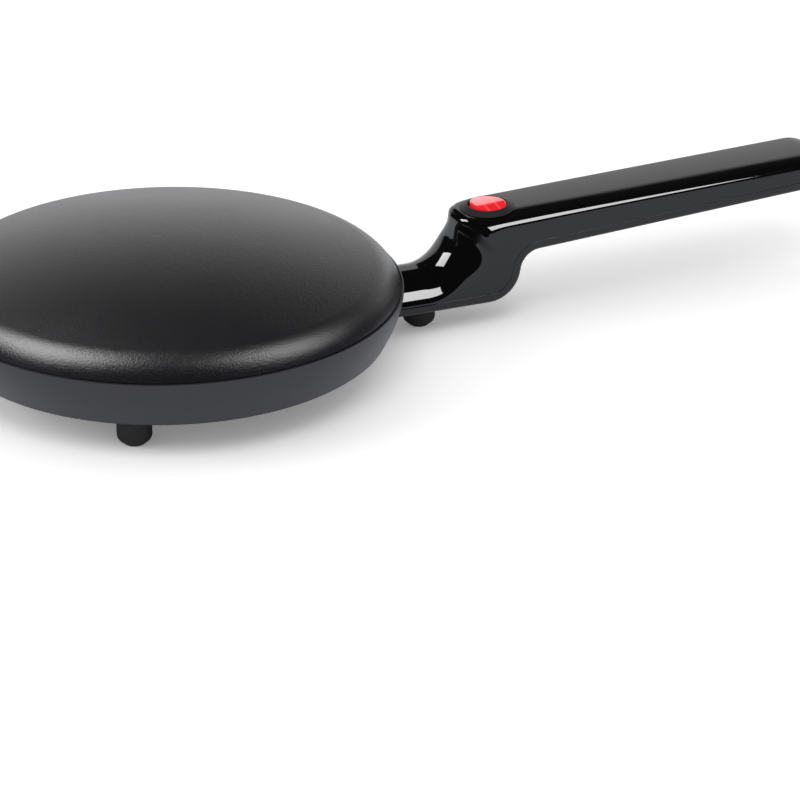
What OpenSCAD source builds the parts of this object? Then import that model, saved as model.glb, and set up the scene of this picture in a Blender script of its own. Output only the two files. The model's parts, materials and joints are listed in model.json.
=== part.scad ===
// Electric crepe maker: a domed non-stick plate on a shallow round base,
// carried by a cranked handle with a lit rocker switch on its shoulder.
// The plate is dipped in batter upside down, so it has no lid and no hinge.
// Lengths are in millimetres. +X runs along the handle and +Z is up.
// The origin is on the table, under the middle of the whole outline.

/* [Plate] */
// Radius of the plate where it meets the base ring
plate_r = 98.9; // [90:0.1:110]
// Height of the crown of the plate above the ring
crown_h = 20; // [17:0.5:24]
// Radius of the rolled edge of the plate
rim_round = 14; // [11:0.5:15]
// Depth of the centre of the rolled edge below the ring's top
rim_drop = 6; // [4:0.5:8]
// Wall of the cast plate
plate_t = 3; // [2.5:0.1:4]
// Depth of the skirt that drops inside the ring
skirt_h = 5; // [4:0.5:6]
// Wall of the skirt
skirt_t = 2.8; // [2:0.1:3.5]

/* [Base] */
// Height of the underside above the table
foot_gap = 12.3; // [10:0.1:15]
// Depth of the base from its underside to the plate
base_h = 25.7; // [24:0.1:30]
// Height of the grey ring
ring_h = 20.2; // [18:0.1:22]
// How far the ring draws in from its top to its bottom
ring_taper = 6.5; // [4:0.1:8]
// Wall of the ring
ring_t = 2.2; // [1.8:0.1:2.6]
// Width of the lip of the ring outside the plate
ring_lip = 0.8; // [0.6:0.1:1.2]
// Gap round the plate, seen as a dark line
seam_gap = 0.3; // [0.2:0.1:0.6]
// Thickness of the plate's edge above its skirt
edge_t = 0.6; // [0.4:0.1:1]
// Thickness of the seal under the skirt
seal_t = 1.5; // [1:0.1:2]
// Width of the ledge inside the ring
ledge_w = 4.6; // [4:0.1:6]
// Thickness of the ledge
ledge_t = 2; // [1.5:0.1:3]
// Thickness of the heat reflector
reflector_t = 0.7; // [0.5:0.1:1.2]
// Wall of the bottom cover
cover_t = 2.2; // [1.8:0.1:2.6]
// Width of the sloping border of the bottom cover
cover_slope_w = 10.5; // [8:0.1:12]
// Depth of the cover's edge that shows under the ring
cover_edge = 0.9; // [0.5:0.1:1.5]
// Height of the cover's collar inside the ring
collar_h = 4.2; // [3:0.1:6]
// Wall of the collar
collar_t = 2; // [1.5:0.1:2.5]

/* [Feet] */
// Radius of a foot
foot_r = 7.2; // [6:0.1:8]
// Radius of the step that a foot stands on
foot_step_r = 4.9; // [4:0.1:5.5]
// Height of the step, which is also the radius of its lower edge
foot_step_h = 1.4; // [1:0.1:2]
// Height of the rounded shoulder above the step
foot_round_h = 3; // [2:0.1:4]
// Radius of the stem that plugs a foot in
foot_stem_r = 2.9; // [2:0.1:3.2]
// Depth to which the stem goes in
foot_stem_h = 4.4; // [3.5:0.1:5]
// Distance from a plate foot to the edge of the flat underside
foot_inset = 0.3; // [0:0.1:6]
// Distance from the ring to the axis of the neck foot
neck_foot_d = 17; // [14:0.5:18]

/* [Handle] */
// Length of the handle beyond the ring
handle_l = 218; // [190:1:245]
// Half the width of the handle
handle_half_w = 17.5; // [16.5:0.1:19]
// Wall of the handle shells
handle_t = 2.2; // [1.8:0.1:2.6]
// Height of the root where it leaves the ring
root_h = 13.9; // [12.5:0.1:15]
// Distance from the ring to where the neck starts to climb
climb_d = 15; // [12:0.5:18]
// Radius of the hollow where the neck climbs
climb_r = 18; // [15:0.5:20]
// Steepness of the front of the neck
front_angle = 74.7; // [70:0.1:80]
// Height of the shoulder above the plate's seam
shoulder_h = 12.1; // [10:0.1:14]
// Radius of the corner of the shoulder
shoulder_r = 4; // [3:0.5:5]
// Slope of the top of the handle
top_slope = 2.4; // [1.5:0.1:3]
// Distance from the ring to where the underside of the neck starts to turn up
heel_d = 44; // [41:0.5:47]
// Radius of the heel of the neck
heel_r = 14.6; // [12:0.2:16]
// Steepness of the back of the neck
back_angle = 80.3; // [76:0.1:84]
// Length of the straight back of the neck
back_l = 2.4; // [1:0.1:4]
// Radius of the hollow under the handle
grip_r = 9.2; // [7:0.2:11]
// Slope of the underside of the handle
under_slope = 3.55; // [3:0.05:4]
// Rise of the top of the handle in the middle of its width
top_crown = 0.8; // [0.4:0.1:1.2]
// Radius of the edges along the top of the handle
top_edge_r = 3.6; // [3:0.1:4.5]
// Radius of the edges along the underside
low_edge_r = 2; // [1.5:0.1:3]
// Depth of the lower shell
lower_shell_h = 4.5; // [4:0.1:5.5]
// Gap between the two shells along their joint
joint_gap = 0.25; // [0.1:0.05:0.4]
// Length of the rounded end of the handle
end_round_l = 8; // [6:0.5:10]
// Wall at the end of the handle
end_wall = 5; // [4:0.5:7]
// Radius of the hole for the cord
cord_hole_r = 3.5; // [3:0.1:3.8]
// Distance from the ring to the screw in the foot of the neck
neck_screw_d = 29; // [27:0.5:33]
// Distance from the ring to the screw behind the terminal block
grip_screw_d = 105; // [96:1:125]
// Distance from the end of the handle to its last screw
end_screw_inset = 26; // [20:1:60]
// Radius of the bosses that those screws go into
shell_boss_r = 3.5; // [3:0.1:4]

/* [Switch] */
// Distance from the ring to the axis of the switch
switch_d = 49.2; // [48.5:0.1:50]
// Radius of the bezel
bezel_r = 12; // [11.6:0.1:12.4]
// Height of the bezel
bezel_h = 2; // [1.5:0.1:2.5]
// Radius of the barrel behind the panel
barrel_r = 10.6; // [10.4:0.1:10.8]
// Depth of the barrel
barrel_h = 15.5; // [15:0.1:16]
// Radius of the rocker
rocker_r = 8.1; // [7.9:0.1:8.2]
// Gap round the rocker
rocker_gap = 0.6; // [0.55:0.05:0.7]
// Height of the ridge of the lens above the shoulder
lens_top = 3.1; // [2.6:0.1:3.4]
// Radius of the curve across the lens
lens_curve_r = 28; // [24:1:40]
// Wall of the lens
lens_t = 1.2; // [0.9:0.1:1.4]
// Angle at which the rocker rests, end of the handle down
rocker_rest = 5; // [4:0.5:6]
// Radius of the rocker's trunnions
trunnion_r = 1; // [0.8:0.05:1.2]
// Radial clearance of the trunnions in the barrel
trunnion_gap = 0.05; // [0.03:0.01:0.08]

/* [Heating] */
// Radius of the ring that the heating tube follows
heater_ring_r = 60; // [56:1:62]
// Radius of the heating tube
heater_tube_r = 3.3; // [3:0.1:3.6]
// Angle left open between the ends of the heating tube
heater_open = 40; // [30:1:50]
// Radius of the thermostat's cup
thermostat_r = 8; // [7:0.1:9]
// Height of the thermostat's cup
thermostat_cup_h = 4; // [3:0.1:5]
// Height of the thermostat's ceramic body
thermostat_base_h = 8; // [7:0.1:9]
// Clearance between the heating tube and the bosses of the plate's screws
heater_boss_gap = 3.7; // [3:0.1:6]
// Radius of the sleeve of the thermal fuse
fuse_r = 2.6; // [2.2:0.1:3]
// Length of the sleeve of the thermal fuse
fuse_l = 22; // [18:1:26]

/* [Fasteners] */
// Radius of the long screws' shanks
plate_screw_r = 1.9; // [1.6:0.1:2.1]
// Radius of the small screws' shanks
small_screw_r = 1.4; // [1.2:0.1:1.6]
// Radius of the small screws' heads
small_head_r = 2.7; // [2.4:0.1:3]
// Height of the small screws' heads
small_head_h = 1.8; // [1.4:0.1:2.2]
// Length of the small screws' shanks
small_screw_l = 6; // [5:0.5:7]
// Clearance round a screw's shank
screw_gap = 0.1; // [0.05:0.05:0.2]
// Radius of a lead with its sleeve
lead_r = 1.1; // [0.9:0.1:1.2]

/* [Hidden] */
$fn = 96;
// Overshoot of a cut past the face that it opens
over = 1;
eps = 0.01;

// Levels above the table, and radii of the ring
seam_z = foot_gap + base_h;
ring_foot_z = seam_z - ring_h;
ring_r = plate_r + seam_gap + ring_lip;
ring_foot_r = ring_r - ring_taper;
// Distances from the axis of the plate, which lies at x = plate_x
handle_end_u = ring_r + handle_l;
plate_x = (ring_r - handle_end_u) / 2;

// Plate: a shallow crown arc that runs into the rolled edge
rim_c = plate_r - sqrt(rim_round * rim_round - rim_drop * rim_drop);
rim_z = seam_z - rim_drop;
crown_over_rim = crown_h + rim_drop;
crown_r = (rim_c * rim_c + crown_over_rim * crown_over_rim - rim_round * rim_round)
    / (2 * (crown_over_rim - rim_round));
crown_z = seam_z + crown_h - crown_r;
blend_a = asin(rim_c / (crown_r - rim_round));
skirt_gap = 0.9;
skirt_r = ring_r - ring_t - skirt_gap;
skirt_in_r = skirt_r - skirt_t;
skirt_z = seam_z - skirt_h;
seal_z = skirt_z - seal_t;
ledge_z = seal_z - ledge_t;
ledge_r = ring_r - ring_t - ledge_w;
function crown_at(r) = crown_z + sqrt(crown_r * crown_r - r * r);
function arc(x, z, r, a0, a1, n) = [for (i = [0:n])
    let (a = a0 + (a1 - a0) * i / n)
    [x + r * cos(a), z + r * sin(a)]];

// Ring: a height t from 0 at its bottom to 1 at its top gives its radius
ring_steps = 16;
function ring_at(t) = ring_foot_r + ring_taper * sin(90 * t);
function ring_wall(inset) = [for (i = [0:ring_steps])
    [ring_at(i / ring_steps) - inset, ring_foot_z + ring_h * i / ring_steps]];
function backwards(list) = [for (i = [len(list) - 1:-1:0]) list[i]];
rebate_z = seam_z - edge_t - 0.5;

// Cover
cover_reveal = 1.1;
cover_r = ring_foot_r - cover_reveal;
cover_flat_r = cover_r - cover_slope_w;
cover_top_z = ring_foot_z - cover_edge;
collar_r = ring_foot_r - ring_t - 0.3;
collar_in_r = collar_r - collar_t;
rib_t = 1.4;
rib_h = 3.2;
rib_ring_r = 36;

// Heating parts under the plate
heater_z = seam_z + 6.5;
heater_pad_w = 12;
heater_pad_in_r = heater_ring_r - heater_pad_w / 2;
clamp_angles = [90, 180, 270];
clamp_boss_r = 4;
clamp_screw_r = heater_pad_in_r - clamp_boss_r + 1;
clamp_t = 1.2;
clamp_z = heater_z - heater_tube_r;
clamp_end = heater_ring_r - clamp_screw_r + heater_tube_r + 0.8;
clamp_half_w = 7;
pin_r = 1.4;
pin_l = 8.5;
tip_l = 3;
thermostat_z = seam_z + 12;
thermostat_wall = 2;
bracket_t = 1;
bracket_z = thermostat_z - thermostat_cup_h;
bracket_ear = 15.5;
ear_w = 9;
ear_boss_r = 3.6;
tab_x = 4;
tab_t = 0.8;
tab_l = 4;
tab_w = 6.3;
fuse_x = -30;
fuse_z = seam_z + 10;
fuse_pad_r = 8;
fuse_boss_r = 3.4;
fuse_clip_t = 1;
fuse_clip_z = fuse_z - 2 * fuse_r;
fuse_screw_x = fuse_x - fuse_r - 4.6;
fuse_axis_z = fuse_z - fuse_r;

// Screws that pull the plate down on the cover
boss_r = 5;
plate_screw_ring_r = heater_ring_r + heater_tube_r + heater_boss_gap + boss_r;
plate_screw_angles = [60, 180, 300];
post_r = 5.5;
spacer_t = 1.3;
boss_z = seam_z - 4;
post_top_z = boss_z - spacer_t;
plate_head_r = 3.6;
plate_head_h = 2.2;
head_gap = 0.4;
plate_seat_z = foot_gap + 4;
plate_grip = 9;

// Neck bracket
neck_bracket_z = foot_gap + 6.7;
neck_bracket_t = 2;
neck_bracket_w = 16;
bracket_gap = 0.3;
bracket_ends = [6, 12];
bracket_post_r = 4;
neck_bracket_us = [ring_r - 24, ring_r + 7.5];

// Feet
foot_face_r = foot_step_r - foot_step_h;
foot_ring_r = cover_flat_r - foot_r - foot_inset;
foot_angles = [120, 240];
foot_barb = 0.8;
neck_foot_u = ring_r + neck_foot_d;

// Handle: the line along the top and the line along the underside are walked as
// [x, z, heading] through pieces: [length, 0] for a line, [radius, turn] for an arc
root_u = ring_r - 16;
climb_u = ring_r + climb_d;
heel_u = ring_r + heel_d;
root_top_z = foot_gap + root_h;
shoulder_z = seam_z + shoulder_h;
front_rise = shoulder_z - root_top_z - climb_r * (1 - cos(front_angle))
    - shoulder_r * (cos(top_slope) - cos(front_angle));
front_l = front_rise / sin(front_angle);
function piece_l(s) = s[1] == 0 ? s[0] : s[0] * abs(s[1]) * PI / 180;
function piece_at(p, s, d) = s[1] == 0
    ? [p[0] + d * cos(p[2]), p[1] + d * sin(p[2]), p[2]]
    : let (k = sign(s[1]), h = p[2] + k * d / s[0] * 180 / PI)
      [p[0] + k * s[0] * (sin(h) - sin(p[2])), p[1] + k * s[0] * (cos(p[2]) - cos(h)), h];
function walk(p, pieces, i = 0, d = 0) = i == len(pieces) ? []
    : let (l = piece_l(pieces[i]))
      concat([[d, p, pieces[i]]], walk(piece_at(p, pieces[i], l), pieces, i + 1, d + l));
function last(list) = list[len(list) - 1];
function on_line(line, d) =
    let (q = last([for (q = line) if (q[0] <= d + eps) q]))
    piece_at(q[1], q[2], d - q[0]);
function end_d(line) = let (q = last(line)) q[0] + (handle_end_u - q[1][0]) / cos(q[1][2]);
function level_at(line, u) = let (p = last(line)[1]) p[1] + (u - p[0]) * tan(p[2]);
top_line = walk([root_u, root_top_z, 0], [[climb_u - root_u, 0], [climb_r, front_angle],
    [front_l, 0], [shoulder_r, top_slope - front_angle], [handle_l, 0]]);
function under_line(lift) = walk([root_u, foot_gap + lift, 0], [[heel_u - root_u, 0],
    [heel_r - lift, back_angle], [back_l, 0], [grip_r + lift, under_slope - back_angle],
    [handle_l, 0]]);
low_line = under_line(0);

// Stations 0 to 6 pair a place on the top line with a place on the underside
blend_l = 32;
function knot(line, i) = line[i][0];
top_keys = [[0, 0], [1, knot(top_line, 1)], [2, knot(top_line, 2)], [3, knot(top_line, 3)],
    [4, knot(top_line, 4)], [5, knot(top_line, 4) + blend_l], [6, end_d(top_line)]];
low_keys = [[0, 0], [1, 0.45 * knot(low_line, 1)], [2, 0.8 * knot(low_line, 1)],
    [3, 0.1 * knot(low_line, 1) + 0.9 * knot(low_line, 2)], [4, knot(low_line, 3)],
    [5, knot(low_line, 4)], [6, end_d(low_line)]];
// Rounding of the upper edges by station: across the width, then down the side
round_across = [[0, 8], [1, 8], [2, 12], [3, 13], [4, 10], [4.25, 6], [4.6, 4],
    [5, top_edge_r], [6, top_edge_r]];
round_down = [[0, 8], [1, 8], [2, 10], [3, 11], [4, 7], [4.25, 5], [4.6, 4],
    [5, top_edge_r], [6, top_edge_r]];
function spread(a, b, n) = [for (i = [0:n - 1]) a + (b - a) * i / n];
end_part = end_round_l / (end_d(top_line) - knot(top_line, 4) - blend_l);
outer_stations = concat([0, 0.5], spread(1, 2, 8), spread(2, 3, 5), spread(3, 4, 6),
    spread(4, 4.6, 10), spread(4.6, 5, 4), spread(5, 6 - end_part, 4),
    [for (i = [0:6]) 6 - end_part * pow(1 - i / 6, 2)]);
inner_stations = concat([0], spread(1, 2, 3), spread(2, 3, 2), spread(3, 4, 3),
    spread(4, 4.6, 4), [4.6, 4.8, 5, 6]);

// One ring of the handle: half of it runs from the middle of the top, over the
// rounded edge and down the side, to the middle of the underside
function half_ring(w, across, down, low_r, h, n) = concat(
    [[0, 0], [(w - across) / 2, 0]],
    [for (i = [0:n]) [w - across + across * sin(90 * i / n), down - down * cos(90 * i / n)]],
    [for (i = [0:n / 2]) [w - low_r + low_r * cos(180 * i / n), h - low_r + low_r * sin(180 * i / n)]]);
function section(s, inset, n) =
    let (top = on_line(top_line, lookup(s, top_keys)),
        low = on_line(low_line, lookup(s, low_keys)),
        full_h = norm([low[0] - top[0], low[1] - top[1]]),
        dx = (low[0] - top[0]) / full_h,
        dz = (low[1] - top[1]) / full_h,
        past = max(0, 1 - (handle_end_u - top[0]) / end_round_l),
        shrink = inset > 0 ? 0 : 1 - sqrt(max(0, 1 - past * past)),
        in = inset + shrink * low_edge_r,
        w = handle_half_w - inset - shrink * end_round_l,
        h = full_h - 2 * in,
        low_r = max(0.8, low_edge_r - inset),
        across = max(1, lookup(s, round_across) - inset),
        down = min(max(1, lookup(s, round_down) - inset), h - low_r - 0.4),
        half = half_ring(w, across, down, low_r, h, n),
        down_by = [for (p = half) in + p[1] + top_crown * pow(p[0] / w, 2) * max(0, 1 - 2 * p[1] / h)],
        count = len(half))
    concat([for (i = [0:count - 1]) [top[0] + dx * down_by[i], half[i][0], top[1] + dz * down_by[i]]],
        [for (i = [count - 1:-1:1]) [top[0] + dx * down_by[i], -half[i][0], top[1] + dz * down_by[i]]]);

// Height of the joint of the shells over a place on the underside
function joint_z(u) = u < heel_u ? foot_gap + lower_shell_h : level_at(under_line(lower_shell_h), u);
cord_z = (level_at(top_line, handle_end_u) + level_at(low_line, handle_end_u)) / 2;
shell_screw_us = [ring_r + neck_screw_d, ring_r + grip_screw_d, handle_end_u - end_screw_inset];
shell_screw_l = 8.5;
shell_head_depth = 2.6;
lower_boss_r = shell_boss_r + 0.9;
lower_end_u = handle_end_u - 14;
// Half the width, and the height, of a cutter that spans the handle
span_half_w = 2 * handle_half_w;
span_h = 3 * handle_half_w;

// Terminal block
block_l = 14;
block_w = 16;
block_h = 8;
block_pitch = 4;
block_bore_r = 1.5;
block_screw_r = 1.25;
block_screw_h = 2.2;
block_screw_x = 3.5;
block_u = ring_r + 83;
block_z = level_at(low_line, block_u + block_l / 2) + handle_t + 0.2;
block_axis_z = block_z + block_h / 2;

// Switch frame: its origin is on the shoulder, its Z along the barrel
switch_u = ring_r + switch_d;
switch_z = level_at(top_line, switch_u);
pivot_h = -3;
opening_r = rocker_r + rocker_gap;
barrel_gap = 0.1;
bezel_gap = 0.25;
bezel_seat = 0.05;
bezel_edge_h = 0.4;
barrel_floor = 1.5;
terminal_xs = [-5.5, 0, 5.5];
terminal_w = 4.8;
terminal_t = 0.8;
terminal_l = 7;
lens_low = -1.5;
carrier_low = -5.5;
socket_r = 2.6;
plunger_r = 1.6;
plunger_tip = -9.9;
spring_wire_r = 0.25;
spring_pitch = 0.7;
spring_turns = 4;

// Contact seesaw on its cradle
seesaw_h = -12;
seesaw_half_l = 6.3;
seesaw_w = 4;
seesaw_low = -0.3;
seesaw_t = 0.5;
seesaw_tilt = 0.8 * rocker_rest;
fulcrum_r = 1.1;
fulcrum_gap = 0.05;
cradle_half_l = 1.6;
cradle_top = -0.55;
contact_r = 0.9;
contact_t = 0.25;
contact_gap = 0.3;
fixed_contact_top = seesaw_low - contact_t - terminal_xs[2] * sin(seesaw_tilt) - contact_gap;
function switch_point(x, h) = [switch_u + x * cos(top_slope) - h * sin(top_slope),
    switch_z + x * sin(top_slope) + h * cos(top_slope)];

module placed() translate([plate_x, 0, 0]) children();
module at_switch() translate([switch_u, 0, switch_z]) rotate([0, -top_slope, 0]) children();
module at_rocker() at_switch()
    translate([0, 0, pivot_h]) rotate([0, rocker_rest, 0]) translate([0, 0, -pivot_h]) children();
module around(r, angles) for (a = angles) rotate([0, 0, a]) translate([r, 0, 0]) children();
module at_ears() for (y = [-bracket_ear, bracket_ear]) translate([0, y, 0]) children();

// A cylinder from one height to another
module post(r, low, high) translate([0, 0, low]) cylinder(r = r, h = high - low);

// A cube centred across Y, from one height to another
module bar(x0, x1, w, low, high) translate([x0, -w / 2, low]) cube([x1 - x0, w, high - low]);

// A pan-head screw that points up, with its head's face on z = 0
module screw(r, l, head_r, head_h) {
    slot = 0.7;
    cylinder(r = r, h = l);
    difference() {
        translate([0, 0, -head_h]) cylinder(r1 = head_r * 0.8, r2 = head_r, h = head_h);
        for (a = [0, 90]) rotate([0, 0, a])
            bar(-head_r * 0.6, head_r * 0.6, slot, -head_h - eps, -head_h / 2);
    }
}
module small_screw(l = small_screw_l) screw(small_screw_r, l, small_head_r, small_head_h);

// A sleeve swept along hand-set points
module lead(points) {
    n = len(points);
    sides = 8;
    rings = [for (i = [0:n - 1])
        let (t = points[min(i + 1, n - 1)] - points[max(i - 1, 0)],
            d = t / norm(t),
            s0 = cross(d, abs(d[2]) < 0.9 ? [0, 0, 1] : [0, 1, 0]),
            s = s0 / norm(s0),
            q = cross(d, s))
        for (k = [0:sides - 1]) let (turn = 360 * k / sides)
            points[i] + lead_r * (s * cos(turn) + q * sin(turn))];
    polyhedron(rings, loft_faces(n, sides));
}

// Faces of a loft through rings of m points each
function loft_faces(rings, m) = concat(
    [for (i = [0:rings - 2]) for (k = [0:m - 1]) let (a = i * m + k, b = i * m + (k + 1) % m)
        for (f = [[a, a + m, b], [b, a + m, b + m]]) f],
    [[for (k = [0:m - 1]) k]],
    [[for (k = [m - 1:-1:0]) (rings - 1) * m + k]]);

// Plate and base

module plate_outline() {
    in_round = rim_round - plate_t;
    in_a = acos((skirt_in_r - rim_c) / in_round);
    edge_a = asin(rim_drop / rim_round);
    polygon(concat(
        arc(0, crown_z, crown_r, 90, 90 - blend_a, 16),
        arc(rim_c, rim_z, rim_round, 90 - blend_a, edge_a, 20),
        [[plate_r, seam_z - edge_t], [skirt_r, seam_z - edge_t], [skirt_r, skirt_z], [skirt_in_r, skirt_z]],
        arc(rim_c, rim_z, in_round, in_a, 90 - blend_a, 8),
        arc(0, crown_z, crown_r - plate_t, 90 - blend_a, 90, 12)));
}

// A boss under the plate, at a distance from its axis, that ends inside the plate's wall
module plate_boss(r, low, at) post(r, low, crown_at(at) - plate_t / 2);

// Blind holes for the screws of a boss whose face is at a height
module blind(r, low, depth) post(r + screw_gap, low - over, low + depth);
module hole_down(depth) mirror([0, 0, 1]) blind(small_screw_r, 0, depth);

module griddle_plate() color([0.12, 0.12, 0.13]) placed() difference() {
    union() {
        rotate_extrude() plate_outline();
        around(plate_screw_ring_r, plate_screw_angles) plate_boss(boss_r, boss_z, plate_screw_ring_r);
        around(clamp_screw_r, clamp_angles) plate_boss(clamp_boss_r, clamp_z, clamp_screw_r);
        difference() {
            plate_boss(heater_ring_r + heater_pad_w / 2, heater_z, heater_ring_r);
            post(heater_pad_in_r, heater_z - over, heater_z + crown_h);
        }
        plate_boss(thermostat_r + thermostat_wall, thermostat_z, 0);
        at_ears() plate_boss(ear_boss_r, bracket_z, bracket_ear);
        translate([fuse_x, 0, 0]) plate_boss(fuse_pad_r, fuse_z, fuse_x);
        translate([fuse_screw_x, 0, 0]) plate_boss(fuse_boss_r, fuse_clip_z, fuse_screw_x);
    }
    translate([0, 0, heater_z]) rotate_extrude() translate([heater_ring_r, 0]) circle(r = heater_tube_r);
    around(plate_screw_ring_r, plate_screw_angles) blind(plate_screw_r, boss_z, plate_grip + over);
    around(clamp_screw_r, clamp_angles) blind(small_screw_r, clamp_z, small_screw_l);
    at_ears() blind(small_screw_r, bracket_z, small_screw_l);
    translate([fuse_screw_x, 0, 0]) blind(small_screw_r, fuse_clip_z, small_screw_l);
}

module rim_seal() color([0.3, 0.28, 0.27]) placed() difference() {
    post(skirt_r, seal_z, skirt_z);
    post(skirt_in_r, seal_z - over, skirt_z + over);
}

module base_ring() color([0.29, 0.29, 0.31]) placed() difference() {
    rotate_extrude() polygon(concat(
        ring_wall(0),
        [[plate_r + seam_gap, seam_z], [plate_r + seam_gap, rebate_z], [ring_r - ring_t, rebate_z],
            [ring_r - ring_t, seal_z], [ledge_r, seal_z], [ledge_r, ledge_z]],
        backwards([for (p = ring_wall(ring_t)) if (p[1] < ledge_z - 0.5) p])));
    bar(ring_foot_r - ring_taper, ring_r + over, neck_bracket_w + 2,
        neck_bracket_z - bracket_gap, ledge_z - 2);
}

module cover_outline() polygon([[0, foot_gap], [cover_flat_r, foot_gap], [cover_r, cover_top_z],
    [cover_r, ring_foot_z], [collar_r, ring_foot_z], [collar_r, ring_foot_z + collar_h],
    [collar_in_r, ring_foot_z + collar_h], [collar_in_r, ring_foot_z + 0.6],
    [cover_flat_r - 0.8, foot_gap + cover_t], [0, foot_gap + cover_t]]);

module bottom_cover() color([0.1, 0.1, 0.105]) placed() difference() {
    cover_in_z = foot_gap + cover_t;
    union() {
        rotate_extrude() cover_outline();
        around(plate_screw_ring_r, plate_screw_angles) post(post_r, foot_gap + eps, post_top_z);
        translate([neck_bracket_us[0], 0, 0]) post(bracket_post_r, cover_in_z - 0.5, neck_bracket_z);
        difference() {
            post(rib_ring_r + rib_t / 2, cover_in_z - 0.5, cover_in_z + rib_h);
            post(rib_ring_r - rib_t / 2, cover_in_z - over, cover_in_z + rib_h + over);
        }
        around(rib_ring_r, plate_screw_angles)
            bar(0, plate_screw_ring_r - rib_ring_r - post_r + 1, rib_t, cover_in_z - 0.5, cover_in_z + rib_h);
    }
    around(plate_screw_ring_r, plate_screw_angles) {
        post(plate_head_r + head_gap, foot_gap - over, plate_seat_z);
        post(plate_screw_r + 2 * screw_gap, 0, seam_z);
    }
    around(foot_ring_r, foot_angles) foot_socket();
    translate([neck_bracket_us[0], 0, neck_bracket_z]) hole_down(small_screw_l - 1);
    bar(cover_r - 8, cover_r + over, neck_bracket_w + 3,
        neck_bracket_z - bracket_gap, ring_foot_z + 2 * collar_h);
}

module heat_reflector() color([0.72, 0.73, 0.74]) placed() difference() {
    low = seal_z - over;
    high = seal_z + reflector_t + over;
    post(skirt_in_r - 0.3, seal_z, seal_z + reflector_t);
    around(plate_screw_ring_r, plate_screw_angles) post(post_r + 0.6, low, high);
    bar(heater_ring_r, heater_ring_r + 18, 20, low, high);
}

// Heating parts

module heating_element() color([0.5, 0.48, 0.46]) placed() translate([0, 0, heater_z]) {
    rotate([0, 0, heater_open / 2]) rotate_extrude(angle = 360 - heater_open)
        translate([heater_ring_r, 0]) circle(r = heater_tube_r);
    for (k = [-1, 1]) rotate([0, 0, k * heater_open / 2]) translate([heater_ring_r, 0, 0])
        rotate([k * 90, 0, 0]) {
            post(heater_tube_r - 0.4, -0.5, tip_l);
            post(pin_r, 0, pin_l);
        }
}

module heater_clamps() color([0.6, 0.6, 0.62]) placed() around(clamp_screw_r, clamp_angles) difference() {
    union() {
        bar(-clamp_boss_r, clamp_end + clamp_t, 2 * clamp_half_w, clamp_z - clamp_t, clamp_z);
        bar(clamp_end, clamp_end + clamp_t, 2 * clamp_half_w, clamp_z - clamp_t, clamp_z + 1.2);
    }
    post(small_screw_r + screw_gap, clamp_z - clamp_t - over, clamp_z + over);
}

module clamp_screws() color([0.75, 0.75, 0.77]) placed() around(clamp_screw_r, clamp_angles)
    translate([0, 0, clamp_z - clamp_t]) small_screw();

module thermostat_cup() color([0.78, 0.78, 0.8]) placed() post(thermostat_r, bracket_z, thermostat_z);

module thermostat_base() color([0.85, 0.82, 0.75]) placed() {
    low = bracket_z - thermostat_base_h;
    post(thermostat_r - 1, low, bracket_z);
    for (x = [-tab_x, tab_x]) bar(x - tab_t / 2, x + tab_t / 2, tab_w, low - tab_l, low + 0.5);
}

module thermostat_bracket() color([0.6, 0.6, 0.62]) placed() difference() {
    low = bracket_z - bracket_t;
    union() {
        post(thermostat_r + thermostat_wall, low, bracket_z);
        bar(-ear_w / 2, ear_w / 2, 2 * (bracket_ear + ear_boss_r + 0.4), low, bracket_z);
    }
    post(thermostat_r - 0.9, low - over, bracket_z + over);
    at_ears() post(small_screw_r + screw_gap, low - over, bracket_z + over);
}

module thermostat_screws() color([0.75, 0.75, 0.77]) placed() at_ears()
    translate([0, 0, bracket_z - bracket_t]) small_screw();

module thermal_fuse() color([0.9, 0.88, 0.8]) placed() translate([fuse_x, 0, fuse_axis_z]) rotate([90, 0, 0])
    cylinder(r = fuse_r, h = fuse_l, center = true);

module fuse_clip() color([0.6, 0.6, 0.62]) placed() difference() {
    low = fuse_clip_z - fuse_clip_t;
    hook_x = fuse_x + fuse_r + 0.8;
    union() {
        bar(fuse_screw_x - fuse_boss_r, hook_x + fuse_clip_t, 8, low, fuse_clip_z);
        bar(hook_x, hook_x + fuse_clip_t, 8, low, fuse_clip_z + 2.2);
    }
    translate([fuse_screw_x, 0, 0]) post(small_screw_r + screw_gap, low - over, fuse_clip_z + over);
}

module fuse_screw() color([0.75, 0.75, 0.77]) placed()
    translate([fuse_screw_x, 0, fuse_clip_z - fuse_clip_t]) small_screw();

module plate_spacers() color([0.85, 0.82, 0.75]) placed() around(plate_screw_ring_r, plate_screw_angles)
    difference() {
        post(boss_r, post_top_z, boss_z);
        post(plate_screw_r + 2 * screw_gap, post_top_z - over, boss_z + over);
    }

module plate_screws() color([0.75, 0.75, 0.77]) placed() around(plate_screw_ring_r, plate_screw_angles)
    translate([0, 0, plate_seat_z])
        screw(plate_screw_r, boss_z - plate_seat_z + plate_grip, plate_head_r, plate_head_h);

// Handle

module handle_form(inset, stations, n) {
    rings = backwards([for (s = stations) section(s, inset, n)]);
    polyhedron([for (r = rings) for (p = r) p], loft_faces(len(rings), len(rings[0])), convexity = 8);
}
module inner_form(inset) handle_form(inset, inner_stations, 4);

// Everything that the ring and the cover take up, and a hair more
module base_room() {
    hair = 0.1;
    rotate_extrude() polygon(concat(
        [[0, foot_gap - eps], [cover_flat_r, foot_gap - eps], [cover_r + hair, cover_top_z - hair]],
        ring_wall(-hair), [[0, seam_z]]));
}

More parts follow.
